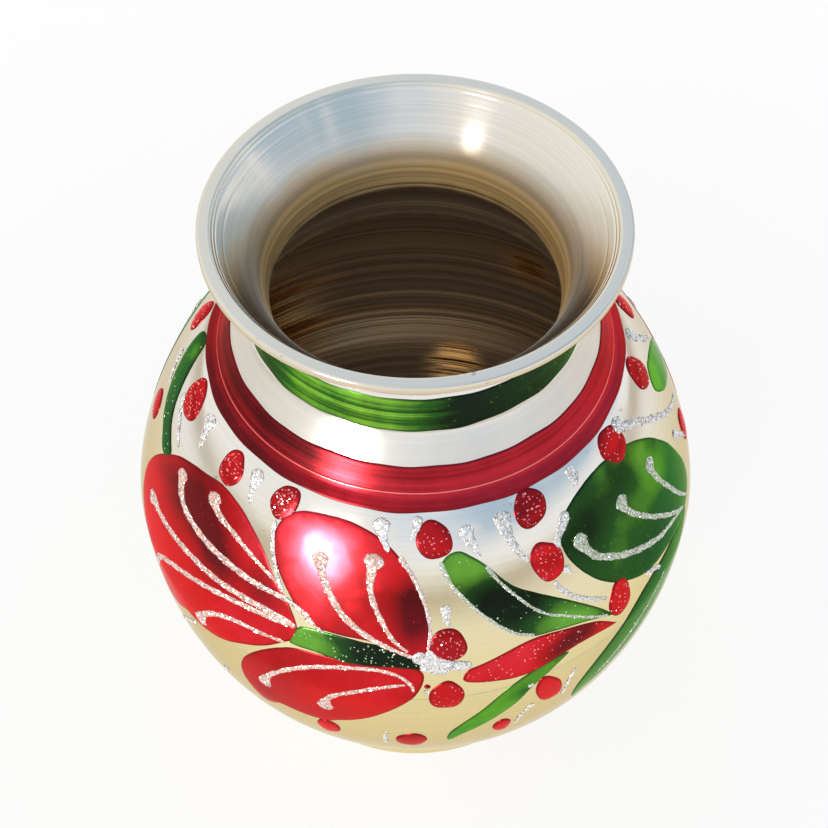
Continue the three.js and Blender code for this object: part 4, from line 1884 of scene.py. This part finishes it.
# Each dot's azimuth and height, width and length in millimetres, lean and share of glitter.
DOTS = (
    Dot(-50.9, 82.1, 4.3, 6.2, 6, 0.5), Dot(-33.4, 82.8, 4.2, 5.8, 14, 1.0),
    Dot(4.3, 82, 5.4, 5.6, 0, 0.3), Dot(28.9, 83.1, 5.4, 5.7, 0, 0.25), Dot(29.6, 74.9, 5, 7.2, -12, 0.3),
    Dot(6.4, 65.2, 5.3, 6.5, -14, 0.4), Dot(5.9, 54.1, 5.2, 7.2, 0, 0.1),
    Dot(27.1, 47.6, 4.6, 8.8, -16, 0.0), Dot(44.8, 60.5, 4.8, 7, 0, 0.3), Dot(58.2, 82.7, 5.8, 6, 0, 0.2),
    Dot(-0.9, 36.4, 5.2, 6.6, 0, 0.0), Dot(-18.4, 37.4, 4, 6, 0, 0.0), Dot(18, 38.2, 3, 5.6, -8, 0.0),
    Dot(2.2, 56.9, 1, 0.7, 0, 0.0),
)
SIDE_DOTS = (
    Dot(-74.9, 82.3, 5.7, 6.8, -8, 0.5), Dot(-103.3, 82.4, 4.8, 6.4, 0, 0.3),
    Dot(-89.4, 70, 5, 5.6, 0, 0.1), Dot(83, 82.7, 5.4, 6, 0, 0.2), Dot(106.2, 82.9, 5, 5.4, 0, 0.2),
    Dot(89.2, 64.4, 5.2, 6, 0, 0.1),
)

# Each stroke's path, then the half widths of its drop and its line, its tint and its tail.
STROKES = (
    Stroke(((-52, 77.6), (-50.6, 75.9), (-47.5, 75), (-44, 74.6), (-39.2, 73.6), (-34.3, 72.4),
            (-29.6, 71)), 1.5, 0.62, 1),
    Stroke(((-63.8, 75), (-62.8, 72.8), (-60.4, 71), (-57, 70.1), (-50.3, 69.5), (-43, 69.3), (-35, 69.1),
            (-28.4, 69.1), (-24.4, 68.4), (-20.6, 66.5)), 1.5, 0.85, 1),
    Stroke(((-72.6, 62.2), (-70, 63.2), (-66.5, 63.2), (-60, 63.8), (-52.4, 64.5), (-44, 64.9),
            (-36.4, 65.4), (-29.4, 65.5), (-24.4, 64.8)), 1.5, 0.8, 1, 0.7),
    Stroke(((-64.8, 52), (-63, 55.4), (-58, 58.2), (-51, 60.6), (-44, 62.5), (-37.2, 63.8), (-31.5, 64.4),
            (-26, 64.7)), 0.8, 0.7, 1, 0.5),
    Stroke(((-47.4, 51.9), (-46.8, 54.4), (-45, 56.6), (-41.8, 58.5), (-37.2, 59.9), (-31.5, 60.5),
            (-26.4, 61)), 1.45, 0.62, 1),
    Stroke(((-21.8, 78.6), (-20.4, 75.4), (-17.2, 71.6), (-13.8, 68.8), (-8.9, 66.3), (-4, 64.4),
            (0.4, 62.9)), 1.3, 0.75, 1),
    Stroke(((-9, 80), (-9.6, 77.6), (-9.7, 75), (-8.8, 72.6), (-6.8, 69.5), (-4.4, 66.3),
            (-1.4, 64.2)), 1.6, 0.6, 1),
    Stroke(((-3.6, 79.8), (-0.8, 77.2), (1.2, 74.2), (2.4, 71.2), (2.9, 68),
            (2.4, 64.6)), 0.45, 0.42, 0.4),
    Stroke(((-34.4, 80), (-33.6, 77.6), (-32.2, 75), (-30.2, 72), (-28.4, 70)), 0.5, 0.45, 0.2),
    Stroke(((-31.4, 45.8), (-30.6, 49), (-28.6, 52), (-25.4, 55), (-20.4, 57.8), (-14.4, 59.5), (-8, 60.2),
            (-3.6, 59.4), (-1, 57.4), (-0.4, 55.6)), 1.45, 0.6, 1),
    Stroke(((-17.9, 46), (-17.6, 49.4), (-15.4, 52.2), (-11, 54.7), (-6.1, 56.5),
            (-1.9, 57.4)), 1.5, 0.6, 1),
    Stroke(((-23.6, 68.2), (-22.3, 67.3), (-20.4, 66.3), (-18.4, 65.4)), 0.85, 0.3, 0.9),
    Stroke(((-0.6, 63.6), (2, 62.6), (5, 61.6), (8, 61), (11, 60.7)), 1.2, 1.5, 0, 0.6),
    Stroke(((2.6, 64.6), (3.4, 63), (5, 62), (7.6, 60.8)), 0.8, 1.3, 0, 1.0),
    Stroke(((1, 61.6), (3.4, 60.6), (6.4, 60.4)), 0.9, 1.1, 0, 0.8),
    Stroke(((1.6, 55.9), (2.6, 55.3)), 0.4, 0.4),
    Stroke(((5.6, 78.9), (7.8, 75.4), (10.8, 72.4), (14.7, 69), (19.6, 65.2),
            (24, 63.4)), 0.42, 0.38, -0.6),
    Stroke(((15.6, 77.4), (18.4, 74.2), (21.4, 71.3), (24.2, 68.6), (27.4, 66.2), (31, 64.4), (36, 61.6),
            (41, 58.9)), 0.38, 0.36, -0.8),
    Stroke(((-8.4, 84.6), (-8, 82.8), (-6.2, 80.4)), 1.3, 0.7),
    Stroke(((0.6, 85), (0.2, 83.6), (-1, 82)), 0.8, 0.5),
    Stroke(((11.6, 83.4), (12.8, 81.4), (14.6, 78.8)), 1.3, 0.7),
    Stroke(((21.2, 84), (21.8, 81), (23.4, 78.2), (25.4, 76)), 1.6, 0.8),
    Stroke(((42.8, 85), (43, 83.4), (42.2, 82.4)), 1.1, 0.8),
    Stroke(((37.4, 80.4), (35.6, 79), (33.4, 77.4), (32.8, 76)), 1.0, 0.8, 0, 0.5),
    Stroke(((-43, 84.6), (-43.2, 82.6), (-42.2, 80)), 1.2, 0.6),
    Stroke(((-65.4, 84.4), (-64.6, 82.4), (-63, 79.8)), 1.3, 0.7),
    Stroke(((6.4, 72.4), (6.2, 70.4), (6.8, 68.6)), 0.9, 0.6),
    Stroke(((33.6, 72.8), (33.8, 71.6), (34.4, 71)), 0.7, 0.4),
    Stroke(((30.2, 71.2), (31.6, 69), (34.4, 66.6), (38, 64.3), (41.6, 62.4)), 0.5, 0.5),
    Stroke(((38.2, 76.4), (38.8, 74.2), (41, 71.4), (44, 69.6), (48.5, 67.4), (54.7, 64.9), (60.3, 62.8),
            (66, 61.4), (72, 59.4)), 1.4, 0.8, -1),
    Stroke(((52.2, 76.6), (52.6, 74.4), (54, 72.4), (56.4, 70.4), (59.6, 67.8), (63.1, 65.3), (67.4, 62.2),
            (72.4, 59)), 1.35, 0.6, -1),
    Stroke(((65.4, 76), (65.4, 73), (66.4, 70.8), (68, 68.4), (70, 65.6), (72.8, 62),
            (76.4, 58.6)), 1.4, 0.6, -1),
    Stroke(((53, 59.6), (56, 58.6), (58.4, 57)), 0.5, 0.6),
    Stroke(((22.2, 52), (23.4, 51.3)), 0.6, 0.5),
    Stroke(((40, 41), (46, 45.5), (53, 50.5), (60, 55)), 0.4, 0.45, -1),
    Stroke(((-50, 49.2), (-52.6, 47), (-55.4, 44.4), (-57.4, 42.4)), 0.4, 0.4),
    Stroke(((-43, 40), (-44.6, 38), (-45.6, 36)), 0.5, 0.45),
    Stroke(((-6, 39.6), (-6.4, 36.6), (-6.2, 34)), 0.4, 0.4),
    Stroke(((24, 44), (22, 40.6), (21, 37)), 0.5, 0.45),
    Stroke(((33, 50), (31.6, 46), (31, 42)), 0.5, 0.4),
)
SIDE_STROKES = (
    Stroke(((-79.6, 80.6), (-77.4, 79), (-73.8, 77.4), (-69.6, 75.6)), 0.8, 0.7),
    Stroke(((-95.4, 79.4), (-93, 77.4), (-89, 75.6)), 0.7, 0.5),
    Stroke(((61.8, 84.4), (64.6, 82.8), (68.4, 81.4), (72.6, 79.2), (77.4, 76.6), (82, 73.8), (87.4, 71.2),
            (93, 69)), 1.5, 0.75),
    Stroke(((80, 70.2), (82.4, 68), (85, 65.8), (87, 63.4)), 0.9, 0.6),
    Stroke(((93.4, 84.8), (95.2, 82.6), (98, 79.6), (102.6, 76.6)), 1.4, 0.6),
)


class Painting:
    """The sprays of flowers: one on the front, the same again on the back, and leaves at the sides."""

    turns = (0.0, 180.0)
    hand_seed = 5
    first_scatter_seed = 3

    def __init__(self, belly: BellySurface, finishes: dict[str, Material]) -> None:
        """Takes up the tools.

        Args:
            belly: the surface to paint on.
            finishes: the finishes by name.
        """
        self.finishes = finishes
        self.brush = Brush(belly, self.hand_seed)
        self.gel = GelLines(belly)
        self.loose = LooseFlakes()

    def laid(self, sprays: Sequence[Any], sides: Sequence[Any] = ()) -> list[tuple[Any, float]]:
        """Pairs marks with their turns: those of the sprays on front and back, then those at the sides."""
        return [(mark, turn) for turn in self.turns for mark in sprays] + [(mark, 0.0) for mark in sides]

    def paint(self, name: str, colour: str, marks: Sequence[tuple[Brushed | Dot, float]]) -> Piece:
        """Paints marks as one piece of lacquer.

        Args:
            name: the piece's name.
            colour: red or green.
            marks: each mark and how far it is turned round the pot.

        Returns:
            The piece.
        """
        coat = Coat()
        for mark, turn in marks:
            lay = self.brush.dab if isinstance(mark, Dot) else self.brush.fill
            lay(coat, mark, turn)
        return finished(coat.made(name, self.finishes[colour]), f"{colour}_lacquer")

    def petals(self) -> Piece:
        """Paints the red petals and buds."""
        return self.paint("red_petals", "red", self.laid(RED_SHAPES))

    def leaves(self) -> Piece:
        """Paints the green leaves."""
        return self.paint("green_leaves", "green", self.laid(GREEN_SHAPES, SIDE_SHAPES))

    def dots(self) -> Piece:
        """Paints the red dots."""
        return self.paint("red_dots", "red", self.laid(DOTS, SIDE_DOTS))

    def lines(self) -> Piece:
        """Squeezes the glitter lines."""
        strokes = self.laid(STROKES, SIDE_STROKES)
        return finished(self.gel.squeeze("glitter_lines", strokes, self.finishes["gel"]), "silver_glitter")

    def flakes(self, bases: Sequence[tuple[str, Piece, float, str]]) -> None:
        """Scatters flakes; each row is their name, the piece below, how many to a square mm, and finish."""
        for seed, (name, base, density, finish) in enumerate(bases, self.first_scatter_seed):
            finished(self.loose.scatter(name, base, self.finishes[finish], density, seed), "silver_glitter")


# The studio


WHITE: Colour = (1.0, 1.0, 1.0)


@dataclass
class Studio:
    """Floor, lamp, sky and camera; lengths are in millimetres and angles in degrees."""

    camera_place: tuple[float, float, float] = (0.0, -191.3, 307.6)
    camera_dip: float = 51.6
    camera_pan: float = -0.046
    camera_roll: float = -0.07
    camera_nearest: float = 10.0
    sensor_width: float = 36.0
    focal_pixels: float = 1801.0
    picture_pixels: float = 828.0
    lamp_azimuth: float = -34.5
    lamp_elevation: float = 3.4
    lamp_distance: float = 900.0
    lamp_target: float = 79.0
    lamp_size: float = 265.0
    lamp_power: float = 7.0
    lamp_colour: Colour = (1.0, 0.97, 0.92)
    floor_radius: float = 3000.0

    def camera(self) -> None:
        """Places the camera as the photograph was taken."""
        data = bpy.data.cameras.new("camera")
        data.sensor_width = self.sensor_width
        data.lens = self.sensor_width * self.focal_pixels / self.picture_pixels
        data.clip_start = self.camera_nearest * MM
        camera = placed("camera", data)
        camera.location = [c * MM for c in self.camera_place]
        level = Matrix.Rotation(math.radians(90 - self.camera_dip), 3, "X")
        pan = Matrix.Rotation(math.radians(-self.camera_pan), 3, "Y")
        roll = Matrix.Rotation(math.radians(self.camera_roll), 3, "Z")
        camera.rotation_euler = (level @ (pan @ roll)).to_euler()
        bpy.context.scene.camera = camera

    def seen(self, graph: Graph) -> Socket:
        """Tells camera, mirror and glass rays from the others, in a material's or the sky's tree."""
        path = graph.add("ShaderNodeLightPath").outputs
        return reduce(graph.most, [path[f"Is {kind} Ray"] for kind in ("Camera", "Glossy", "Transmission")])

    def floor(self) -> None:
        """Lays a plain white floor that keeps a soft shadow."""
        bpy.ops.mesh.primitive_circle_add(vertices=128, radius=self.floor_radius * MM, fill_type="NGON")
        floor = bpy.context.object
        floor.name = "floor"
        floor.data.materials.append(self.floor_finish())

    def floor_finish(self) -> Material:
        """Makes the floor's material: white round the pot, with its shadow, and pale beige further away.

        Returns:
            The material.
        """
        face = Surface("studio_floor")
        face.set(Base_Color=(0.9, 0.89, 0.87), Roughness=0.7)
        away = [(0.0, WHITE), (0.14, WHITE), (0.3, (0.6, 0.53, 0.43)), (1.0, (0.62, 0.56, 0.47))]
        colour = face.ramp(face.math("DIVIDE", face.radius, 2.0), away)
        glow = face.out("ShaderNodeEmission", {"Color": colour, "Strength": 1.0})
        share = face.times(face.spread(face.radius, 0.06, 0.28, 0.8, 1.0), self.seen(face))
        mixed = face.out("ShaderNodeMixShader", {0: share, 1: face.shader.outputs[0], 2: glow})
        face.tree.links.new(mixed, face.output.inputs["Surface"])
        return face.material

    def lamp(self) -> None:
        """Hangs the small soft lamp whose light the petals mirror."""
        azimuth, elevation = math.radians(self.lamp_azimuth), math.radians(self.lamp_elevation)
        level = math.cos(elevation)
        away = Vector((math.sin(azimuth) * level, -math.cos(azimuth) * level, math.sin(elevation)))
        data = bpy.data.lights.new("key_lamp", "AREA")
        data.shape = "DISK"
        data.size = self.lamp_size * MM
        data.energy = self.lamp_power
        data.color = self.lamp_colour
        lamp = placed("key_lamp", data)
        lamp.location = Vector((0.0, 0.0, self.lamp_target * MM)) + away * self.lamp_distance * MM
        lamp.rotation_euler = away.to_track_quat("Z", "Y").to_euler()

    def sky(self) -> None:
        """Sets a pale, clouded sky: white at the horizon, creamy on the left and bluer on the right."""
        world = bpy.data.worlds.new("sky")
        world.use_nodes = True
        world.node_tree.nodes.clear()
        bpy.context.scene.world = world
        graph = Graph(world.node_tree)
        way = graph.add("ShaderNodeTexCoord").outputs["Generated"]
        parts = graph.add("ShaderNodeSeparateXYZ", {0: way}).outputs
        side, up = parts["X"], parts["Z"]
        stops = [(0.0, WHITE), (0.12, WHITE), (0.45, (0.76, 0.86, 0.98)), (1.0, (0.58, 0.69, 0.85))]
        colour = graph.ramp(up, stops)
        deeper = graph.times(graph.spread(side, 0.05, 0.55, 0.0, 0.75), graph.spread(up, 0.1, 0.35))
        colour = graph.blend(deeper, colour, (0.36, 0.52, 0.68))
        colour = graph.blend(graph.spread(side, 0.1, -0.45, 0.0, 0.85), colour, (1.0, 0.985, 0.94))
        cloud = graph.spread(graph.noise(way, 2.3, 5.0, 0.6), 0.54, 0.7)
        colour = graph.blend(graph.times(cloud, 0.85), colour, (0.98, 0.98, 1.0))
        colour = graph.blend(self.seen(graph), (0.82, 0.84, 0.88), colour)
        light = graph.out("ShaderNodeBackground", {"Color": colour, "Strength": 1.0})
        graph.add("ShaderNodeOutputWorld", {"Surface": light})


def main() -> None:
    """Builds the pot piece by piece, then the studio round it."""
    bpy.context.scene.view_settings.view_transform = "Standard"
    form = PotForm()
    outer, inner = PolishedBrass().build(), InnerBrass().build()
    finishes = {
        "red": RED.build(),
        "green": GREEN.build(),
        "gel": GEL.build(),
        "silver_flakes": FLAKES.build(),
        "red_flakes": RED_FLAKES.build(),
        "green_flakes": GREEN_FLAKES.build(),
    }
    metal = Metalwork(form, Lathe(), outer, inner)
    metal.mouth()
    metal.shoulder()
    metal.bowl()
    metal.foot()
    metal.brazing(BrazingMetal().build())
    bands = Bands(form)
    bands.green(GREEN_BAND.build())
    bands.red(RED_BAND.build())
    painting = Painting(BellySurface(form), finishes)
    petals, leaves, dots, lines = painting.petals(), painting.leaves(), painting.dots(), painting.lines()
    painting.flakes(
        (
            ("flakes_on_lines", lines, 5.0, "silver_flakes"),
            ("flakes_in_dots", dots, 4.0, "red_flakes"),
            ("flakes_in_petals", petals, 4.0, "red_flakes"),
            ("flakes_in_leaves", leaves, 3.0, "green_flakes"),
        )
    )
    studio = Studio()
    studio.camera()
    studio.floor()
    studio.lamp()
    studio.sky()


if __name__ == "__main__":
    logging.basicConfig(level=logging.INFO, format="%(message)s")
    main()
